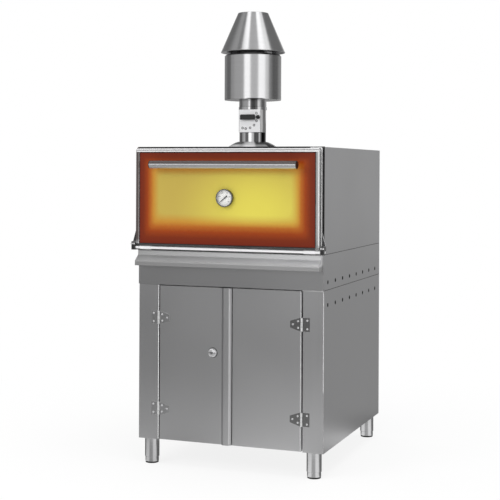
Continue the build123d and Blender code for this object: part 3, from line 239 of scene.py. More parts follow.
node(room, "ShaderNodeOutputWorld", {"Surface": mix_shaders(looked_at, by_gloss, paper)})
print("world nodes:", len(room.nodes))

# %% [markdown]
# One large soft lamp in front and one overhead round off the forms and put a soft shadow on the floor.
# Small lamps would throw hard shadows. Both are hidden from the metal, which has its own room to mirror.

# %% Lamps
def lamp(name, place, size, watts):
    """A round soft lamp that points at the oven."""
    made = shown(name, given(bpy.data.lights.new(name, "AREA"), shape="DISK", size=size, energy=watts))
    aim = (OVEN_HEART - Vector(place)).to_track_quat("-Z", "Y").to_euler()
    given(made, location=place, rotation_euler=aim, visible_glossy=False)
    print(name, watts, "W")

lamp("front_lamp", (-2.6, -4.2, 3.4), 2.4, 70)
lamp("top_lamp", (0.8, -0.6, 4.6), 2.6, 60)

# %% [markdown]
# The floor is nearly white with a faint shadow, and no horizon crosses the picture.
# To the camera it turns into plain paper a little away from the oven, which hides its far edge.

# %% Floor
FLOOR_RADIUS = 14.0
floor_mesh = bpy.data.meshes.new("floor")
form = bmesh.new()
bmesh.ops.create_circle(form, cap_ends=True, segments=96, radius=FLOOR_RADIUS)
form.to_mesh(floor_mesh)
form.free()
floor = shown("floor", floor_mesh)

pale_floor, tree, lit = blank("pale_floor")
floor_mesh.materials.append(pale_floor)
feed(lit, {"Base Color": (0.93, 0.93, 0.93, 1), "Roughness": 0.85})
path = node(tree, "ShaderNodeLightPath").outputs
paper = node(tree, "ShaderNodeEmission", {"Strength": 1.0}).outputs[0]
distance = vectors("LENGTH", place_on(tree))["Value"]
whiter = scaled(step(distance, 0.7, 2.2), 0.16, 0.84)
pale = mix_shaders(times(whiter, path["Is Camera Ray"]), lit.outputs[0], paper)
print("floor radius", FLOOR_RADIUS, "m")

# %% [markdown]
# Metal sees the floor as a carpet that is light near the oven and dark further off, which shades the fronts from top to bottom.
# Round each leg, the light also changes with the direction from the leg, so the round tubes get bars like the flue's.

# %% Carpet that metal sees
CARPET_LONG = 8
CARPET_AHEAD = [(0.3, 0.31), (0.5, 0.62), (1.3, 0.58), (2.4, 0.38), (4.0, 0.2), (7.0, 0.12)]
LEG_X, LEG_FRONT, LEG_BACK = 0.353, -0.349, 0.449
LEG_BARS = [
    (-95, 0.3), (-75, 1.25), (-28, 1.25), (-10, 0.62), (28, 0.62), (42, 1.2), (84, 1.2), (104, 0.26),
]
spot = axes(tree)
ahead = times(spot["Y"], -1 / CARPET_LONG)
carpet = ramp(ahead, [(y / CARPET_LONG, (light, light, light, 1.0)) for y, light in CARPET_AHEAD])
aside = minus(spot["X"], times(maths("SIGN", spot["X"]), LEG_X))
behind = maths("GREATER_THAN", spot["Y"], (LEG_FRONT + LEG_BACK) / 2)
leg_y = scaled(behind, LEG_BACK - LEG_FRONT, LEG_FRONT)
before = minus(leg_y, spot["Y"])
squares = [times(way, way) for way in (aside, before)]
from_leg = maths("SQRT", maths("ADD", *squares))
bars = by_compass(turn_from(maths("ARCTAN2", aside, before)), LEG_BARS)
carpet = blend(step(from_leg, 0.50, 0.44), carpet, bars)
to_right = {"Value": spot["X"], "From Min": -1.0, "From Max": 0.5, "To Min": 0.6, "To Max": 1.15}
strength = node(tree, "ShaderNodeMapRange", to_right).outputs[0]
carpet_light = node(tree, "ShaderNodeEmission", {"Color": carpet, "Strength": strength}).outputs[0]
feed(tree.nodes["Material Output"], {"Surface": mix_shaders(path["Is Glossy Ray"], pale, carpet_light)})
print("carpet shades:", len(CARPET_AHEAD), "ahead and", len(LEG_BARS), "round each leg")

# %% [markdown]
# Rolled and brushed sheet shows fine streaks in one direction, and hands and cloths leave large dull patches on it.
# Sharp folds are polished a little by wear, and a painted highlight lightens their colour.
# All three effects are used by several finishes, so each is a node group that is built once.

# %% Effects that finishes share
def effect(name, inputs, outputs):
    """A new node group, what comes into it, and the node where its results go out."""
    group = bpy.data.node_groups.new(name, "ShaderNodeTree")
    for label, kind, value in inputs:
        socket = group.interface.new_socket(name=label, in_out="INPUT", socket_type=kind)
        socket.default_value = value
    for label, kind in outputs:
        group.interface.new_socket(name=label, in_out="OUTPUT", socket_type=kind)
    return group, group.nodes.new("NodeGroupInput").outputs, group.nodes.new("NodeGroupOutput")

def noise(vector, scale, detail=3.0, roughness=0.55):
    values = {"Vector": vector, "Scale": scale, "Detail": detail, "Roughness": roughness}
    return node(vector.id_data, "ShaderNodeTexNoise", values).outputs[0]

streaks, inlet, outlet = effect(
    "brushed_streaks", [("Stretch", "NodeSocketVector", (300.0, 300.0, 5.0))], [("Streak", "NodeSocketFloat")]
)
pulled = vectors("MULTIPLY", place_on(streaks), inlet["Stretch"])[0]
feed(outlet, {"Streak": noise(pulled, 1.0, 4.0, 0.7)})

patches, inlet, outlet = effect("dull_patches", [("Scale", "NodeSocketFloat", 4.0)], [("Patch", "NodeSocketFloat")])
cloud = noise(place_on(patches), inlet["Scale"], 1.0, 0.4)
feed(outlet, {"Patch": step(cloud, 0.3, 0.75)})

edge_wear_and_highlight, inlet, outlet = effect(
    "worn_and_highlit_edges", [("Radius", "NodeSocketFloat", 0.002)], [("Edge", "NodeSocketFloat"), ("Normal", "NodeSocketVector")]
)
rounded = node(edge_wear_and_highlight, "ShaderNodeBevel", {"Radius": inlet["Radius"]}, samples=4).outputs[0]
agree = vectors("DOT_PRODUCT", rounded, node(edge_wear_and_highlight, "ShaderNodeNewGeometry").outputs["Normal"])["Value"]
bent = times(minus(1.0, agree), 4.0, clamp=True)
feed(outlet, {"Edge": bent, "Normal": rounded})
print("effects:", [g.name for g in bpy.data.node_groups])

# %% [markdown]
# All the steel on this oven is the same metal with a different surface: brushed sheet, spun round parts, and polished trim.
# One function makes them, and takes the direction of the streaks and how rough and how even the surface is.
# Streaks move the roughness and a very shallow bump, and the patches dull it here and there.

# %% How steel is made
FINE, COARSE = 0.000006, 0.00003

def use(tree, group, **values):
    return node(tree, "ShaderNodeGroup", values, node_tree=group).outputs

def bump(shader, height, strength, depth, **normal):
    """A relief on the surface, which may start from another normal."""
    relief = node(shader.id_data, "ShaderNodeBump", {"Height": height, "Strength": strength, "Distance": depth, **normal})
    feed(shader, {"Normal": relief.outputs[0]})

def steel(name, dark, light, rough, stretch, grain, smudge=0.05, depth=FINE, anisotropic=0.0, edge=0.0015, metallic=1.0):
    """Steel between two screen greys. Grain and smudge say how much the streaks and the patches move its roughness."""
    made, tree, shader = blank(name)
    streak = use(tree, streaks, Stretch=stretch)["Streak"]
    patch = use(tree, patches, Scale=3.2)["Patch"]
    worn_highlit_fold = use(tree, edge_wear_and_highlight, Radius=edge)
    tone = blend(streak, paint(dark, dark, dark * 1.005), paint(light, light, light * 1.005))
    grained = scaled(streak, grain, rough - grain / 2)
    dulled = scaled(patch, smudge, grained)
    polish = scaled(worn_highlit_fold["Edge"], -0.6, 1.0)
    # Along sharp edges the colour turns pale grey: wear polish together with a painted highlight.
    feed(shader, {
        "Base Color": blend(worn_highlit_fold["Edge"], tone, grey(0.92)),
        "Roughness": times(dulled, polish),
        "Metallic": metallic,
        "Anisotropic": anisotropic,
    })
    bump(shader, streak, 0.15, depth, Normal=worn_highlit_fold["Normal"])
    return made

print("streaks are", FINE * 1e6, "or", COARSE * 1e6, "micrometres deep")

# %% [markdown]
# The doors are brushed upright, the sides from front to back and the bands from side to side, and round parts show fine rings.
# Some trim has less metallic than real steel, because a full mirror would show only the dark parts of the room there;
# with a pale colour it shows painted highlights instead.

# %% Steel finishes
UPRIGHT = (900.0, 900.0, 7.0)
LEVEL = (7.0, 900.0, 900.0)
DEEP = (900.0, 7.0, 900.0)
ROUND = (9.0, 9.0, 520.0)
door_sheet = steel("upright_brushed_sheet", 0.775, 0.79, 0.30, UPRIGHT, 0.02, 0.03)
side_sheet = steel("side_sheet", 0.775, 0.79, 0.34, DEEP, 0.02, 0.03)
band_sheet = steel("level_brushed_sheet", 0.705, 0.72, 0.30, LEVEL, 0.02, 0.03)
ledge_sheet = steel("ledge_sheet", 0.965, 0.98, 0.50, LEVEL, 0.02, edge=0.003, metallic=0.85)
plate_sheet = steel("plate_sheet", 0.94, 0.97, 0.40, LEVEL, 0.05, edge=0.001, metallic=0.15)
# Near-white steel with little metallic: a painted highlight on the hinge rod and on the bright bars and beads at edges.
bright_rod = steel("bright_rod", 0.97, 0.99, 0.16, LEVEL, 0.03, metallic=0.2)
# Near-black steel: painted shade on the hinge brackets and the scale plate's edges, and the gauge case's dark colour.
dark_polish = steel("dark_polish", 0.30, 0.42, 0.12, LEVEL, 0.05, edge=0.003)
flue_steel = steel("flue_steel", 0.82, 0.92, 0.07, ROUND, 0.04, 0.03, COARSE)
collar_steel = steel("collar_steel", 0.94, 0.98, 0.14, ROUND, 0.04, 0.03, COARSE, metallic=0.4)
spun_steel = steel("spun_steel", 0.76, 0.86, 0.14, ROUND, 0.05, 0.03, COARSE, anisotropic=0.3)
leg_steel = steel("leg_steel", 0.80, 0.88, 0.14, ROUND, 0.05, 0.03, COARSE)
polished_trim = steel("polished_trim", 0.88, 0.93, 0.07, LEVEL, 0.02, 0.02, edge=0.007)
chrome = steel("chrome", 0.93, 0.97, 0.05, LEVEL, 0.02, 0.02, edge=0.004)
satin_tube = steel("satin_tube", 0.88, 0.94, 0.10, LEVEL, 0.06, 0.03)
handle_steel = steel("handle_steel", 0.90, 0.96, 0.17, LEVEL, 0.04, 0.03, metallic=0.78)
grip_highlight = steel("grip_highlight_steel", 0.83, 0.85, 0.31, UPRIGHT, 0.02, metallic=0.6)
hinge_steel = steel("hinge_steel", 0.66, 0.74, 0.31, LEVEL, 0.04, edge=0.003)
screw_steel = steel("screw_steel", 0.84, 0.88, 0.10, LEVEL, 0.02, 0.02, edge=0.0012, metallic=0.25)
wire_steel = steel("wire_steel", 0.60, 0.72, 0.36, DEEP, 0.12, 0.2, COARSE)
print("steel finishes:", len([m for m in bpy.data.materials if "steel" in m.name or "sheet" in m.name]))

# %% [markdown]
# Some of the steel gets painted shade and painted reflections: the ledge is darker to the left and at its lip, the
# bezel at its ends, the handle below and brownish on top, and the scale plate on its folded side.
# Painting them needs a picture, so here each is a darker colour that sets in between two limits along X, Y or Z.

# %% Painted shade on the steel
def surface(finish):
    """A finish's shader, its colour before painted shade, and the place on the piece along each axis."""
    shader = finish.node_tree.nodes["Principled BSDF"]
    return shader, shader.inputs["Base Color"].links[0].from_socket, axes(finish.node_tree)

def stain(finish, *layers):
    """Lays painted shade over a finish. Each layer has its colour, how much of it shows, and its limits: axis, unshaded
    at, full at.
    """
    shader, colour, spot = surface(finish)
    for tint, amount, *limits in layers:
        for axis, unshaded, full in limits:
            amount = times(step(spot[axis], unshaded, full), amount)
        colour = blend(amount, colour, tint)
    feed(shader, {"Base Color": colour})

ledge_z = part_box("ash_ledge")[0][2]
tube_low, tube_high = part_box("handle_tube")
tube_z = (tube_low[2] + tube_high[2]) / 2
plate_low, plate_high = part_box("scale_plate")
plate_y = plate_low[1]
# Painted shade: the ledge darker to the left and at its lip.
stain(ledge_sheet, (grey(0.84), 1.0, ("X", 0.45, -0.50)), (grey(0.62), 0.75, ("Z", ledge_z + 0.022, ledge_z + 0.012)))
# Painted shade under the handle and a painted brownish reflection on its top.
stain(
    handle_steel,
    (grey(0.80), 1.0, ("Z", tube_z - 0.003, tube_z - 0.005)),
    (paint(0.45, 0.42, 0.42), 1.0, ("Z", tube_z + 0.001, tube_z + 0.004)),
)
# Painted shade on the scale plate's folded side, darker towards the back.
stain(
    plate_sheet,
    (grey(0.84), 1.0, ("Y", plate_y + 0.002, plate_y + 0.003)),
    (grey(0.50), 1.0, ("Y", plate_y + 0.026, plate_y + 0.030)),
)
# Painted shade on the bezel's left side, its bottom and its right side.
stain(
    polished_trim,
    (paint(0.50, 0.46, 0.45), 1.0, ("X", -0.374, -0.384), ("Z", 0.91, 0.935)),
    (grey(0.45), 1.0, ("Z", 0.9145, 0.9125)),
    (grey(0.80), 1.0, ("X", 0.376, 0.382), ("Z", 1.292, 1.288)),
)
print("shade_painted_on: ledge, handle, scale plate, bezel")

# %% [markdown]
# The hinges of the stand's doors are dark leaves with a painted highlight on the knuckle, and painted shade makes the
# right pair darker than the left.
# The post's leaves and their knuckles are one solid, so the distance from the pin tells the two apart.

# %% Painted highlight on the hinge knuckles
PIN_ASIDE = 0.004
shader, unshaded, spot = surface(hinge_steel)
pin_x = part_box("right_door")[1][0] + PIN_ASIDE
from_pin = maths("ABSOLUTE", minus(maths("ABSOLUTE", spot["X"]), pin_x))
knuckle_highlight = step(from_pin, 0.0052, 0.0046)
shaded_leaves = blend(step(spot["X"], 0.0, 0.1), unshaded, grey(0.50))
# Painted shade on the right leaves, and a painted highlight with less metallic on the knuckles.
feed(shader, {
    "Base Color": blend(knuckle_highlight, shaded_leaves, grey(0.90)),
    "Metallic": scaled(knuckle_highlight, -0.45, 1.0),
})
print("pins", round(pin_x, 4), "m from the middle")

# %% [markdown]
# Some of the flue's bright and dark bars are reflections of things close to it, such as its own plate and collar.
# The room is too far away for these, so they are painted reflections: a ramp of grey round the flue's axis darkens the
# metal, with one row for each part of its height.

# %% Painted reflection bars round the flue
DRUM_TALL = 0.188
EVEN = [(-180, 1.0), (180, 1.0)]
NECK = [(-110, 1.0), (-70, 0.9), (6, 1.0), (12, 0.4), (38, 0.4), (47, 1.0)]
PIPE_FOOT = [
    (-140, 1.0), (-105, 0.5), (-70, 0.7), (-37, 0.8), (-29, 1.0), (-16, 1.0), (-10, 0.6), (-1, 0.6), (4, 1.0),
    (23, 1.0), (29, 0.3), (45, 0.3), (50, 0.9), (57, 0.9), (64, 0.15), (87, 0.15), (110, 0.4), (140, 1.0),
]
DRUM = [(74, 1.0), (82, 0.8), (112, 0.8), (125, 1.0)]
COLLAR_RIM = [
    (-120, 0.8), (-75, 0.9), (-20, 0.9), (-8, 0.75), (4, 1.0), (24, 1.0), (30, 0.65), (55, 0.65), (62, 0.2),
    (84, 0.2), (92, 0.9), (150, 0.8),
]
COLLAR_TOP = [
    (-150, 0.7), (-105, 0.45), (-75, 0.45), (-12, 0.4), (0, 0.9), (14, 1.0), (24, 0.95), (30, 0.35), (50, 0.35),
    (58, 0.2), (78, 0.25), (86, 0.9), (120, 0.7),
]
drum_low, drum_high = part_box("firebreak")
collar_low, collar_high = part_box("flue_collar")
flue = (drum_low + drum_high) / 2

def stain_round(finish, *rows):
    """Paints reflections on a flue piece as darker bars round its axis: a row has its start, how soft that is, and its
    greys.
    """
    shader, unshaded, spot = surface(finish)
    aside = minus(spot["X"], flue.x)
    ahead = minus(flue.y, spot["Y"])
    turn = turn_from(maths("ARCTAN2", aside, ahead))
    bars = WHITE
    for start, soft, shades in rows:
        row = ramp(turn, [(on_turn(angle), grey(shade)) for angle, shade in shades])
        bars = blend(step(spot["Z"], start - soft, start + soft), bars, row)
    layers = {"Factor": 1.0, "A": unshaded, "B": bars}
    painted_reflection = node(finish.node_tree, "ShaderNodeMix", layers, data_type="RGBA", blend_type="MULTIPLY")
    feed(shader, {"Base Color": painted_reflection.outputs["Result"]})

plate_middle = (plate_low[2] + plate_high[2]) / 2
collar_bend = collar_low[2] * 0.45 + collar_high[2] * 0.55
stain_round(spun_steel, (0.0, 0.001, NECK), (drum_high[2] - DRUM_TALL, 0.001, DRUM), (drum_high[2] - 0.003, 0.001, EVEN))
stain_round(flue_steel, (0.0, 0.001, PIPE_FOOT), (plate_middle, 0.025, NECK))
stain_round(collar_steel, (0.0, 0.001, COLLAR_RIM), (collar_bend, 0.003, COLLAR_TOP))
print("flue's axis at", round(flue.x, 3), round(flue.y, 3))

# %% [markdown]
# The door's enamel is sprayed in layers: yellow in the middle, through orange, to a dark red-brown at the rim, like embers.
# It is a thin layer of glass, so it is glossy over the colour.
# The fade follows the distance to the nearest edge, which a few math nodes work out from the panel's own corners.

# %% Ember enamel
EMBERS = [
    (0.00, paint(0.42, 0.14, 0.08)), (0.22, paint(0.46, 0.17, 0.07)), (0.42, paint(0.58, 0.24, 0.07)),
    (0.58, paint(0.68, 0.38, 0.13)), (0.74, paint(0.75, 0.53, 0.20)), (1.00, paint(0.74, 0.65, 0.31)),
]

def from_edge(value, edge, reach):
    """How far inside an edge, as a share of the fade's reach, which is negative at the upper end of an axis."""
    return times(minus(value, edge), 1 / reach)

ember_enamel, tree, shader = blank("ember_enamel")
low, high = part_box("enamel_panel")
place, spot = place_on(tree), axes(tree)
left, right = from_edge(spot["X"], low[0], 0.089), from_edge(spot["X"], high[0], -0.102)
bottom, top = from_edge(spot["Z"], low[2], 0.125), from_edge(spot["Z"], high[2], -0.095)
sides = maths("SMOOTH_MIN", left, right, 0.3)
ends = maths("SMOOTH_MIN", bottom, top, 0.3)
inset = maths("SMOOTH_MIN", sides, ends, 0.35)
speckle = minus(noise(place, 90.0), 0.5)
embers = ramp(scaled(speckle, 0.05, inset), EMBERS)
from_glow = vectors("SUBTRACT", place, (0.13, 0.0, 1.06))[0]
glow_far = vectors("LENGTH", vectors("MULTIPLY", from_glow, (1.0, 0.0, 1.4))[0])["Value"]
inside = node(tree, "ShaderNodeMapRange", {"Value": inset, "From Min": 0.6, "From Max": 1.0}).outputs[0]
brighter = times(step(glow_far, 0.38, 0.02), inside)
feed(shader, {
    "Base Color": blend(brighter, embers, paint(0.86, 0.81, 0.34)),
    "Roughness": scaled(use(tree, patches, Scale=5.0)["Patch"], 0.06, 0.1),
    "Specular IOR Level": 0.15,
    "Coat Weight": 0.2,
    "Coat Roughness": 0.04,
})
bump(shader, noise(place, 140.0, 2.0), 0.08, 0.0004)
print("enamel from", [round(v, 3) for v in low], "to", [round(v, 3) for v in high])

# %% [markdown]
# The rest is plain stuff: black plastic, dark heat-stained plate inside the oven, rough cast iron, mineral fibre, and the dial.
# Each gets a base colour that changes a little over the surface and a roughness and a bump of the right scale.

# %% Other finishes
def plain_finish(name, dark, light, rough, scale, relief, metallic=0.0, strength=0.3):
    """A finish between two colours, with a grain of some scale and relief."""
    made, tree, shader = blank(name)
    grain = noise(place_on(tree), scale, 4.0)
    patch = use(tree, patches, Scale=6.0)["Patch"]
    tone = blend(grain, dark, light)
    feed(shader, {
        "Base Color": blend(times(patch, 0.3), tone, light),
        "Roughness": scaled(patch, 0.12, rough - 0.06),
        "Metallic": metallic,
    })
    bump(shader, grain, strength, relief)
    return made

black_plastic = plain_finish("black_plastic", grey(0.05), grey(0.09), 0.36, 900.0, 0.00005)
black_lever = plain_finish("black_lever", grey(0.09), grey(0.17), 0.42, 400.0, 0.0001)
rubber_pad = plain_finish("rubber_pad", grey(0.10), grey(0.16), 0.8, 500.0, 0.0002)
stained_plate = plain_finish("stained_plate", paint(0.13, 0.11, 0.10), paint(0.30, 0.27, 0.24), 0.62, 28.0, 0.0003, 0.7)
cast_iron = plain_finish("cast_iron", grey(0.12), paint(0.26, 0.25, 0.24), 0.7, 260.0, 0.0008, 0.5, 0.6)
fibre_board = plain_finish("fibre_board", paint(0.72, 0.68, 0.60), paint(0.90, 0.88, 0.82), 0.95, 220.0, 0.002)
rope_fibre = plain_finish("rope_fibre", paint(0.42, 0.40, 0.37), paint(0.74, 0.72, 0.68), 0.95, 900.0, 0.0006, 0.0, 0.7)
# Dead black for painted shadow in gaps and recesses, and for the gauze in the vents.
shade_and_gauze_black = plain_finish("shade_and_gauze_black", grey(0.03), grey(0.06), 0.85, 600.0, 0.0001)
shade_and_gauze_black.node_tree.nodes["Principled BSDF"].inputs["Specular IOR Level"].default_value = 0.1
magnet_black = plain_finish("magnet_black", grey(0.07), grey(0.14), 0.6, 700.0, 0.0001)
dial_white = plain_finish("dial_white", paint(0.90, 0.90, 0.88), paint(0.95, 0.95, 0.94), 0.45, 300.0, 0.00002)
dial_ink = plain_finish("dial_ink", grey(0.03), grey(0.06), 0.5, 500.0, 0.00002)
print("finishes:", len(bpy.data.materials))

# %% [markdown]
# The thermometer's dial lies behind a round window of clear glass.
# Glass would throw a dark shadow on the dial in a renderer, so shadow rays and soft light pass straight through it here.

# %% Dial glass
dial_glass, tree, shader = blank("dial_glass")
smear = scaled(use(tree, patches, Scale=60.0)["Patch"], 0.03, 0.01)
feed(shader, {"Transmission Weight": 1.0, "IOR": 1.45, "Base Color": WHITE, "Roughness": smear})
path = node(tree, "ShaderNodeLightPath").outputs
passing = maths("MAXIMUM", path["Is Shadow Ray"], path["Is Diffuse Ray"])
clear = node(tree, "ShaderNodeBsdfTransparent").outputs[0]
feed(tree.nodes["Material Output"], {"Surface": mix_shaders(passing, shader.outputs[0], clear)})
print("glass is clear and lets light through to the dial")

# %% [markdown]
# A real sheet edge or fold is never perfectly sharp: it catches a thin line of light.
# A bevel modifier on each solid gives that line without changing its mesh or its size.
# Round spun parts get none, because their outline is smooth already.

# %% Dress the solids
def soften(piece, width, segments=2):
    """Rounds the sharp edges of a piece, by a width in metres."""
    soft = piece.modifiers.new("soft_edges", "BEVEL")
    given(soft, width=width, segments=segments, limit_method="ANGLE", angle_limit=math.radians(40))

def dress(finish, names, edge_mm=0):
    """Gives solids a finish, and bevelled edges if a width is given."""
    for name in names.split():
        piece = nodes[name]
        piece.data.materials.clear()
        piece.data.materials.append(finish)
        for face in piece.data.polygons:
            face.material_index = 0
        if edge_mm:
            soften(piece, edge_mm / 1000)

dress(door_sheet, "left_door right_door front_posts left_door_grip", 0.7)
dress(side_sheet, "stand_side_left stand_side_right oven_side_left oven_side_right base_skirt", 0.6)
dress(side_sheet, "stand_back oven_wrap stand_floor stand_deck base_deck door_plug", 0.5)
dress(band_sheet, "fascia", 0.6)
dress(ledge_sheet, "ash_ledge", 0.6)
dress(spun_steel, "firebreak hat_cone")
dress(flue_steel, "flue_pipe")
dress(collar_steel, "flue_collar")
dress(leg_steel, "legs")
dress(leg_steel, "foot_front_left foot_front_right foot_back_left foot_back_right", 0.4)
dress(polished_trim, "front_frame door_frame", 0.8)
dress(dark_polish, "hinge_brackets", 0.4)
dress(dark_polish, "gauge_case", 0.3)
dress(chrome, "dome_nuts lock_case lock_plug", 0.4)
dress(bright_rod, "hinge_rod door_barrels")
dress(handle_steel, "handle_tube")
dress(satin_tube, "handle_posts", 0.3)
dress(plate_sheet, "scale_plate", 0.3)
dress(hinge_steel, "post_hinge_leaves left_door_hinge_leaves right_door_hinge_leaves", 0.3)
dress(screw_steel, "post_hinge_screws left_door_screws right_door_screws", 0.1)
dress(wire_steel, "grill_rack")
dress(ember_enamel, "enamel_panel", 0.3)
dress(black_plastic, "handle_caps damper_knob", 0.4)
dress(black_lever, "damper_shaft", 0.4)
dress(stained_plate, "fire_chamber ash_pan damper_disc", 0.6)
dress(cast_iron, "charcoal_grate", 0.8)
dress(fibre_board, "insulation door_core")
dress(magnet_black, "door_magnets", 0.5)
dress(dial_white, "gauge_dial")
dress(dial_glass, "gauge_glass")
dress(dial_ink, "gauge_needle")
dress(rope_fibre, "rope_seal")
print("dressed", len(nodes), "solids")

# %% [markdown]
# Small parts are built straight from points, which puts them exactly on the solids.
# A form holds the points and faces, and becomes one piece that rides on the body of the solid it belongs to.

# %% Helpers for added pieces
BACK = Vector((0, 1, 0))

def add(name, shape, finish, body="carcass"):
    """One piece from a mesh or a form, with its finish, riding on a body that is the carcass if none is given."""
    if isinstance(shape, bmesh.types.BMesh):
        form, shape = shape, bpy.data.meshes.new(name)
        bmesh.ops.recalc_face_normals(form, faces=form.faces)
        form.to_mesh(shape)
        form.free()
    piece = shown(name, shape)
    shape.materials.append(finish)
    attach(piece, body)
    return piece

def skin(form, rows, closed=True, smooth=True):
    """Faces between rows of points: once round both ways if closed, or else from end to end."""
    count = len(rows[0])
    for first, second in zip(rows, rows[1:] + rows[:1] if closed else rows[1:]):
        for k in range(count if closed else count - 1):
            face = form.faces.new((first[k], first[(k + 1) % count], second[(k + 1) % count], second[k]))
            face.smooth = smooth

def block(name, x, y, z, finish, body="carcass"):
    """A block from its limits along each axis."""
    form = bmesh.new()
    bmesh.ops.create_cube(form, size=1.0)
    for vert in form.verts:
        vert.co = Vector([low + (c + 0.5) * (high - low) for c, (low, high) in zip(vert.co, (x, y, z))])
    return add(name, form, finish, body)

def slim(name, x, y, z, finish, body="carcass"):
    """A slim bar with rounded edges, from its limits along each axis."""
    soften(block(name, x, y, z, finish, body), min(high - low for low, high in (x, y, z)) * 0.3)

print("piece helpers ready")

# %% [markdown]
# Round parts such as rims and rings would show corners if they were cut from blocks.
# They are spun from a profile instead, and places round a dial are given by an angle and a radius.

# %% Helpers for round pieces
def spun(name, centre, upright, profile, finish, body, sides=48):
    """A ring round an upright axis or one that faces the front, from points of radius and place on the axis."""
    form = bmesh.new()
    rows = []
    for k in range(sides):
        a = 2 * math.pi * k / sides
        points = [(centre[0] + r * math.cos(a), centre[1] + r * math.sin(a), place) for r, place in profile]
        rows.append([form.verts.new((p, q, place) if upright else (p, place, q)) for p, q, place in points])
    skin(form, rows)
    add(name, form, finish, body)

def heading(degrees):
    """Two directions in the plane of the front: one at an angle from the right, and one square to it."""
    angle = math.radians(degrees)
    along = Vector((math.cos(angle), 0, math.sin(angle)))
    return along, Vector((-along.z, 0, along.x))

def round_point(x, z, radius, degrees, y=0.0):
    """A point at an angle round a centre in the plane of the front."""
    angle = math.radians(degrees)
    return Vector((x + radius * math.cos(angle), y, z + radius * math.sin(angle)))

print("one step round a ring of 48:", 360 / 48, "degrees")

# %% [markdown]
# The door's seal is a twisted fibre rope in a groove. A rectangle with a weave on it would look flat when the door is open.
# Three strands are wound round a path with rounded corners, and the path comes from the solid that the rope replaces.

# %% Twisted rope seal
INSET, CORNER, APART, TWIST_LONG = 0.005, 0.012, 0.004, 0.022

def round_path(low_x, high_x, low_z, high_z):
    """Points round a rectangle with rounded corners."""
    points = []
    corners = [(high_x - CORNER, low_z + CORNER, -90), (high_x - CORNER, high_z - CORNER, 0),
               (low_x + CORNER, high_z - CORNER, 90), (low_x + CORNER, low_z + CORNER, 180)]
    for i, (cx, cz, start) in enumerate(corners):
        points += [round_point(cx, cz, CORNER, start + k * 90 / 8) for k in range(9)]
        next_x, next_z, following = corners[(i + 1) % 4]
        here, goal = points[-1], round_point(next_x, next_z, CORNER, following)
        count = max(1, round((goal - here).length / APART))
        points += [here.lerp(goal, k / count) for k in range(1, count)]
    return points

low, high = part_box("rope_seal")
route = round_path(low[0] + INSET, high[0] - INSET, low[2] + INSET, high[2] - INSET)
total = len(route)
twists = round(total * APART / TWIST_LONG)
strand_r = (high[1] - low[1]) * 0.26
twist_r = (high[1] - low[1]) * 0.5 - strand_r
turns = [2 * math.pi * k / 8 for k in range(8)]
form = bmesh.new()
for strand in range(3):
    rings = []
    for i, point in enumerate(route):
        out = (route[(i + 1) % total] - route[i - 1]).normalized().cross(BACK)
        twist = 2 * math.pi * (strand / 3 + twists * i / total)
        heart = point + out * (1.5 * twist_r * math.cos(twist)) + BACK * (twist_r * math.sin(twist))
        heart.y += (low[1] + high[1]) / 2
        ring = [heart + out * (1.4 * strand_r * math.cos(a)) + BACK * (strand_r * math.sin(a)) for a in turns]
        rings.append([form.verts.new(c) for c in ring])
    skin(form, rings)
rope = add("seal_rope", form, rope_fibre, "oven_door")
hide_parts("rope_seal")
print("rope path", round(sum((route[i] - route[i - 1]).length for i in range(total)), 3), "m")

# %% [markdown]
# A thin black strip lies between the enamel and its bright bezel, where the photograph shows a dark line.
# It is a thin ring with a rounded back, made from two outlines and a bevel.

# %% Black strip round the enamel
STRIP_WIDE = 0.0026
low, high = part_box("enamel_panel")
strip_front = low[1] - 0.0012
form = bmesh.new()
loops = []
for inset, y in ((0, strip_front), (STRIP_WIDE, strip_front), (STRIP_WIDE, low[1]), (0, low[1])):
    x0, x1, z0, z1 = low[0] + inset, high[0] - inset, low[2] + inset, high[2] - inset
    loops.append([form.verts.new((x, y, z)) for x, z in ((x0, z0), (x1, z0), (x1, z1), (x0, z1))])
skin(form, loops, smooth=False)
soften(add("enamel_strip", form, black_plastic, "oven_door"), 0.0006, 3)
print("strip", STRIP_WIDE * 1000, "mm wide")

# %% [markdown]
# The thermometer needs its printing to read as one: a ring of ticks and plain numbers.
# Ticks are thin raised bars in one mesh, a hair in front of the dial, and the pointer gets a coat of ink in the same way.

# %% Thermometer printing
DIAL_START, DIAL_SWEEP = 220, 260

def bar(form, centre, along, across, half_long, half_wide, y0, y1):
    """A small block in the plane of the front, added to a form."""
    signs = ((-1, -1), (1, -1), (1, 1), (-1, 1))
    corners = [centre + along * (a * half_long) + across * (b * half_wide) for a, b in signs]
    front = [form.verts.new((c.x, y0, c.z)) for c in corners]
    back = [form.verts.new((c.x, y1, c.z)) for c in corners]
    form.faces.new(front)
    form.faces.new(list(reversed(back)))
    for k in range(4):
        form.faces.new((front[k], back[k], back[(k + 1) % 4], front[(k + 1) % 4]))

dial_low, dial_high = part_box("gauge_dial")
dial = (dial_low + dial_high) / 2
dial_r = (dial_high[0] - dial_low[0]) / 2
dial_y = dial_low[1]
hub = Vector((dial.x, 0, dial.z))

needle_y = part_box("gauge_needle")[0][1]
along, across = heading(DIAL_START)
form = bmesh.new()
bar(form, hub + along * 0.0035, along, across, 0.0165, 0.0015, needle_y - 0.0002, needle_y)
bar(form, hub - along * 0.0105, along, across, 0.0024, 0.0026, needle_y - 0.0002, needle_y)
add("needle_ink", form, dial_ink, "needle")

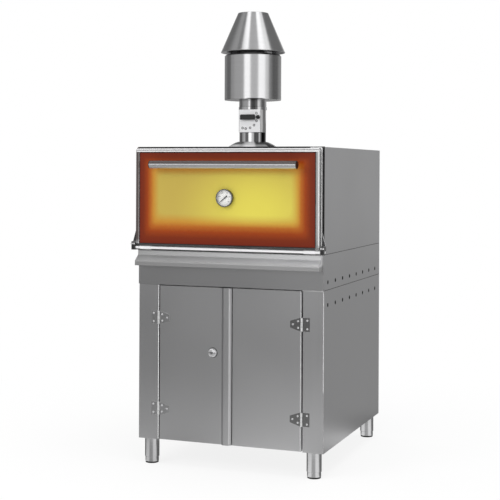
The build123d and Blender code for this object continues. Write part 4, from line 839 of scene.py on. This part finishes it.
form = bmesh.new()
for i in range(51):
    along, across = heading(DIAL_START - i * DIAL_SWEEP / 50)
    tick, half_wide = (0.0036, 0.00035) if i % 10 == 0 else (0.0022, 0.0002) if i % 5 == 0 else (0.0013, 0.0002)
    middle = hub + along * (dial_r - 0.0035 - tick / 2)
    bar(form, middle, along, across, tick / 2, half_wide, dial_y - 0.00015, dial_y)
add("dial_ticks", form, dial_ink, "oven_door")
print("dial radius", round(dial_r * 1000, 1), "mm")

# %% [markdown]
# Numbers could be a picture on the dial, but that needs a file and blurs close up.
# Text turned into flat shapes stays sharp, and each number goes to its place round the dial by angle.

# %% Numbers on the dial
def number(name, text, place, height, body):
    """A plain printed number that faces the front."""
    curve = given(bpy.data.curves.new(name, "FONT"), body=text, size=height, align_x="CENTER", align_y="CENTER",
                  extrude=0.00006, resolution_u=3)
    words = shown(name + "_words", curve)
    shape = bpy.data.meshes.new_from_object(words)
    bpy.data.objects.remove(words)
    shape.transform(Matrix.Translation(place) @ Matrix.Rotation(math.radians(90), 4, "X"))
    add(name, shape, dial_ink, body)

for i in range(6):
    place = round_point(dial.x, dial.z, dial_r - 0.0115, DIAL_START - i * DIAL_SWEEP / 5, dial_y - 0.0001)
    number("dial_number_%d" % i, str(i * 100), place, 0.0058, "oven_door")
print("last number", i * 100)

# %% [markdown]
# The damper's plate is stamped with small marks on an arc round the shaft, one for each position of the lever.
# Rings and numbers are made as thin raised shapes, which read as stamping from any side.

# %% Damper scale
MARKS = (20, -19, -44, -69, -93, -110)
MARK_REACH, MARK_R = 0.048, 0.0040
pivot_z = [joint["pos_m"][2] for joint in frame["joints"] if joint["name"] == "damper_turn"][0]
form = bmesh.new()
for mark in MARKS:
    centre = round_point(0.0, pivot_z, MARK_REACH, mark)
    for k in range(16):
        across, along = heading(360 * k / 16)
        bar(form, centre + across * MARK_R, along, across, 0.0009, 0.0011, plate_y - 0.0003, plate_y)
add("scale_rings", form, dial_ink)
for i, mark in enumerate(MARKS[1:], 1):
    place = round_point(0.0, pivot_z, MARK_REACH, mark, plate_y - 0.0001)
    number("scale_number_%d" % i, str(i), place, 0.0052, "carcass")
print("scale plate", [round(v, 3) for v in plate_low])

# %% [markdown]
# Hinge screws have a crossed recess for the driver. A dark cross in the head, as painted shade in the recess, reads
# better at this size than a cut.
# The screws of each door ride on that door.

# %% Crosses in the screw heads
def lumps(mesh):
    """The points of each separate lump of a mesh."""
    form = bmesh.new()
    form.from_mesh(mesh)
    seen, found = set(), []
    for start in form.verts:
        if start in seen:
            continue
        stack, lump = [start], []
        while stack:
            vert = stack.pop()
            if vert not in seen:
                seen.add(vert)
                lump.append(vert.co.copy())
                stack += [e.other_vert(vert) for e in vert.link_edges]
        found.append(lump)
    form.free()
    return found

def crosses(name, solid, body):
    """One dark cross for each screw of a node, on the front of its head."""
    spots = {}
    for lump in lumps(nodes[solid].data):
        x = round(sum(c.x for c in lump) / len(lump), 3)
        z = round(sum(c.z for c in lump) / len(lump), 3)
        spots[(x, z)] = min(spots.get((x, z), 1e9), min(c.y for c in lump))
    form = bmesh.new()
    for (x, z), y in spots.items():
        for turn in (45, 135):
            bar(form, Vector((x, 0, z)), *heading(turn), 0.0018, 0.00028, y - 0.00005, y + 0.0006)
    add(name, form, dial_ink, body)
    print(name, len(spots))

crosses("post_crosses", "post_hinge_screws", "carcass")
crosses("left_crosses", "left_door_screws", "left_door")
crosses("right_crosses", "right_door_screws", "right_door")

# %% [markdown]
# The foot pads are dark rubber under a bright collar.
# They are part of each foot's solid, so a slim ring round the pad shows the rubber.

# %% Rubber rings on the feet
PAD = [(0.0255, 0.0), (0.0266, 0.0), (0.0272, 0.0008), (0.0272, 0.0052), (0.0266, 0.006), (0.0255, 0.006)]
for corner in ("front_left", "front_right", "back_left", "back_right"):
    low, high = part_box("foot_" + corner)
    centre = ((low[0] + high[0]) / 2, (low[1] + high[1]) / 2)
    spun("pad_" + corner, centre, True, PAD, rubber_pad, "foot_" + corner)
print("pads", max(radius for radius, height in PAD) * 2000, "mm wide")

# %% [markdown]
# A thin dark line runs along each seam between the stand, the base and the oven, where a black sealer fills the joint.
# Each is a slim bar that stands a hair out of the two sheets, so it reads from any side.

# %% Sealer in the side seams
skirt_low, skirt_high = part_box("base_skirt")
SIDES = ((-1, skirt_low[0], "left"), (1, skirt_high[0], "right"))
for side, face, label in SIDES:
    for level, z in (("low", skirt_low[2]), ("high", skirt_high[2])):
        block("seam_%s_%s" % (level, label), (face - 0.0003, face + 0.0003), (skirt_low[1] + 0.004, skirt_high[1] - 0.004),
              (z - 0.0009, z + 0.0009), black_plastic)
print("seams at", round(skirt_low[2], 4), round(skirt_high[2], 4))

# %% [markdown]
# Black bars paint the shadow in the recess round the rear half of the bright frame, and thinner ones paint the shadow
# in the door's gap.
# Each is three plain bars, because only their dark line is seen.

# %% Painted shadow behind the frame
frame_low, frame_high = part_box("front_frame")
bezel_low, bezel_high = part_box("door_frame")
outer_x, top_z = frame_high[0], frame_high[2]

def gasket(name, body, y, parts):
    """Black bars of painted shadow, of one depth, each from its limits across and up."""
    for i, (x, z) in enumerate(parts):
        block("%s_%d" % (name, i), x, y, z, shade_and_gauze_black, body)

gasket("frame_seam_shadow", "carcass", (frame_high[1] - 0.0150, frame_high[1] - 0.0002), [
    ((-outer_x - 0.0008, -outer_x - 0.0001), (frame_low[2], top_z + 0.0016)),
    ((outer_x + 0.0001, outer_x + 0.0008), (frame_low[2], top_z + 0.0016)),
    ((-outer_x - 0.0001, outer_x + 0.0001), (top_z + 0.0001, top_z + 0.0016)),
])
gap_y = (bezel_high[1] + 0.0001, frame_low[1] - 0.0006)
edge_x, edge_z, foot_z = bezel_high[0] - 0.0015, bezel_high[2] - 0.0015, bezel_low[2] + 0.085
gasket("door_gap_shadow", "oven_door", gap_y, [
    ((-edge_x, -edge_x + 0.004), (foot_z, edge_z)),
    ((edge_x - 0.004, edge_x), (foot_z, edge_z)),
    ((-edge_x + 0.0041, edge_x - 0.0041), (edge_z - 0.004, edge_z)),
])
print("gasket 15 mm wide, door gap", round((gap_y[1] - gap_y[0]) * 1000, 1), "mm")

# %% [markdown]
# The bezel is rolled trim, and its edges show thin bright and dark lines that a flat frame hasn't got.
# Near-white rounded beads paint the bright lines as highlights, a black groove between them paints a dark line as
# shade, and a black bar paints the shadow on top of the frame behind it.

# %% Painted highlights and shade on the bezel
face_y, bezel_top = bezel_low[1], bezel_high[2]
reach = bezel_high[0] - 0.003
# A black bar over the frame's top: painted shadow.
slim("frame_top_shadow", (-outer_x + 0.012, outer_x - 0.050), (frame_low[1] - 0.0006, frame_low[1] - 0.0001),
     (top_z - 0.0042, top_z - 0.0002), shade_and_gauze_black)
# Near-white beads: painted highlights; the black groove: painted shade.
for name, proud, low, high, finish in (
    ("top_highlight_high", 0.0009, 0.0060, 0.0012, bright_rod),
    ("top_shade_line", 0.0004, 0.0085, 0.0062, shade_and_gauze_black),
    ("top_highlight_low", 0.0009, 0.0142, 0.0088, bright_rod),
):
    slim(name, (-reach, reach), (face_y - proud, face_y), (bezel_top - low, bezel_top - high), finish, "oven_door")
slim("side_highlight", (reach - 0.0012, reach + 0.0014), (face_y - 0.0009, face_y), (bezel_low[2] + 0.020, bezel_top - 0.0146),
     bright_rod, "oven_door")
print("beads", round(reach * 2, 3), "m long")

# %% [markdown]
# Fine black gauze closes the vent holes against insects. A disc of it sits just under the face of the sheet in each hole.

# %% Gauze in the vents
VENT_R, VENT_FIRST, VENT_APART, VENT_COUNT = 0.0080, 0.052, 0.104, 8
rows = (("low", skirt_low[2] - 0.0595), ("high", skirt_low[2] + 0.0305))
for side, face, label in SIDES:
    for level, z in rows:
        form = bmesh.new()
        for i in range(VENT_COUNT):
            centre = Vector((face - side * 0.0003, frame_high[1] + VENT_FIRST + i * VENT_APART, z))
            turned = Matrix.Translation(centre) @ Matrix.Rotation(math.radians(90), 4, "Y")
            plate = {"segments": 24, "radius1": VENT_R, "radius2": VENT_R, "depth": 0.001}
            bmesh.ops.create_cone(form, cap_ends=True, matrix=turned, **plate)
        add("gauze_%s_%s" % (level, label), form, shade_and_gauze_black)
print("gauze discs:", len(SIDES) * len(rows) * VENT_COUNT, "rows at", [round(z, 4) for level, z in rows])

# %% [markdown]
# The sheets are cut and folded, and thin lines run beside the doors: pale bars on the edges are painted highlights, a
# black bar in the left gap is painted shadow, and dark bars on the scale plate's edges are painted shade.
# These lines are thinner than a bevel can show, so slim bars lie on the edges and in the gaps.

# %% Painted lines at the door edges
posts_low, posts_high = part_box("front_posts")
right_low, right_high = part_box("right_door")
grip_low, grip_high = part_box("left_door_grip")
front, foot, head = posts_low[1], posts_low[2], posts_high[2]
left_x, right_x, corner_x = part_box("left_door")[0][0], right_high[0], posts_high[0]
proud = (front - 0.0004, front - 0.0001)
# Near-white bars: painted highlights on the post, door and corner edges.
slim("highlight_post_left", (left_x - 0.0074, left_x - 0.0042), proud, (foot + 0.002, head - 0.001), bright_rod)
slim("highlight_door_right", (right_x - 0.0022, right_x - 0.0001), proud, (right_low[2] + 0.002, right_high[2] - 0.002),
     bright_rod, "right_door")
slim("highlight_corner_right", (corner_x - 0.0022, corner_x - 0.0001), proud, (foot + 0.240, head - 0.003), bright_rod)
slim("highlight_post_top", (right_x + 0.0045, corner_x - 0.0025), proud, (head - 0.0026, head - 0.0004), bright_rod)
slim("edge_gap_right", (right_x + 0.0003, right_x + 0.0034), (front + 0.0008, front + 0.0030), (foot + 0.002, head - 0.004),
     door_sheet)
# A black bar in the left gap: painted shadow.
slim("shadow_post_left_gap", (left_x - 0.0041, left_x - 0.0002), (front - 0.0003, front - 0.0001), (foot + 0.002, head - 0.004),
     shade_and_gauze_black)
# A pale bar: painted highlight on the grip's edge.
slim("highlight_grip", (grip_high[0] - 0.0086, grip_high[0] - 0.0027), (grip_low[1] - 0.0004, grip_low[1] + 0.0020),
     (grip_low[2] + 0.002, grip_high[2] - 0.002), grip_highlight, "left_door")
# Dark bars: painted shade on the scale plate's fold and rim.
for name, x in (("plate_fold_shade", (plate_high[0] - 0.0013, plate_high[0] - 0.0001)),
                ("plate_rim_shade", (plate_low[0] + 0.0001, plate_low[0] + 0.0011))):
    slim(name, x, (plate_y - 0.0003, plate_y), (plate_low[2] + 0.001, plate_high[2] - 0.001), dark_polish)
print("post edges", round(head - foot, 3), "m high")

# %% [markdown]
# The lock's rose is a shallow chrome dome round the plug, which a flat ring can't show.
# A profile spun round the lock's own axis gives it. It rides on the left door, and the button in its middle turns with the lock.

# %% Domed rose of the lock
case_low, case_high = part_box("lock_case")
rose = ((case_low[0] + case_high[0]) / 2, (case_low[2] + case_high[2]) / 2)
rose_r = (case_high[0] - case_low[0]) / 2 - 0.0006
rose_y = case_low[1] - 0.0002

def dome_profile(inner, outer):
    """Part of one shallow dome on the rose's flat face, from one radius to another."""
    radii = [inner + (outer - inner) * k / 8 for k in range(9)]
    curve = [(r, rose_y - 0.0046 * math.sqrt(max(0.0, 1 - (r / rose_r) ** 2))) for r in radii]
    return [(inner, rose_y)] + curve + ([(outer, rose_y)] if outer < rose_r else [])

# A black ring round the rose paints the shadow at its edge.
shadow_ring = [(rose_r + 0.0008, proud[1]), (rose_r + 0.0008, proud[0]), (rose_r + 0.0026, proud[0]), (rose_r + 0.0026, proud[1])]
spun("lock_rose", rose, False, dome_profile(0.0112, rose_r), chrome, "left_door")
spun("lock_button", rose, False, dome_profile(0.0003, 0.0109), chrome, "lock")
spun("rose_shadow_ring", rose, False, shadow_ring, shade_and_gauze_black, "left_door")
form = bmesh.new()
bar(form, Vector((rose[0], 0, rose[1])), Vector((0, 0, 1)), Vector((1, 0, 0)), 0.0042, 0.0011,
    case_low[1] - 0.0052, case_low[1] - 0.003)
add("key_slot", form, dial_ink, "lock")
print("rose", round(rose_r * 2000), "mm wide")

# %% [markdown]
# Rolled beads stiffen the rims of the hat, and the hat and the drum each have one upright weld where the sheet is closed.
# The beads are thin rings on the rims, and the welds are low ridges on the back, with small ripples from the welder's passes.

# %% Rims and welds of the flue
HAT_TALL, HAT_RUN, ROLL_R = 0.167, 0.072, 0.0012
hat_low, hat_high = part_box("hat_cone")
hat_r = (hat_high[0] - hat_low[0]) / 2
drum_r = (drum_high[0] - drum_low[0]) / 2
hat_top, drum_top = hat_high[2], drum_high[2]
rim_z = hat_top - HAT_TALL

def bead(name, radius, height, body):
    turns = [2 * math.pi * k / 10 for k in range(10)]
    profile = [(radius + ROLL_R * math.cos(a), height + ROLL_R * math.sin(a)) for a in turns]
    spun(name, flue, True, profile, spun_steel, body, 96)

def weld(name, body, start, end, away):
    """A low rippled ridge up the back of the flue, between two points of radius and height."""
    start, end = [Vector((flue.x, flue.y + radius, height)) for radius, height in (start, end)]
    form = bmesh.new()
    steps = max(12, round((end - start).length / 0.003))
    across = (end - start).normalized().cross(away).normalized()
    rows = []
    for i in range(steps + 1):
        swell = 1.0 + 0.25 * math.sin(i * 2.1)
        heart = start.lerp(end, i / steps)
        rows.append([form.verts.new(heart + across * (s * 0.002 * swell) + away * (h * 0.0006 * swell))
                     for s, h in ((-1, -0.6), (-0.5, 0.7), (0, 1.0), (0.5, 0.7), (1, -0.6))])
    skin(form, rows, closed=False)
    add(name, form, satin_tube, body)

bead("hat_rim", hat_r - ROLL_R, rim_z + ROLL_R, "hat")
bead("hat_lip", 0.0628, hat_top - ROLL_R, "hat")
weld("drum_weld", "firebreak", (drum_r, drum_top - DRUM_TALL + 0.004), (drum_r, drum_top - 0.008), BACK)
weld("hat_weld", "hat", (hat_r, rim_z + 0.004), (0.064, hat_top - 0.004), Vector((0, HAT_TALL, HAT_RUN)).normalized())
print("drum", round(drum_r * 2000), "mm, hat", round(hat_r * 2000), "mm")
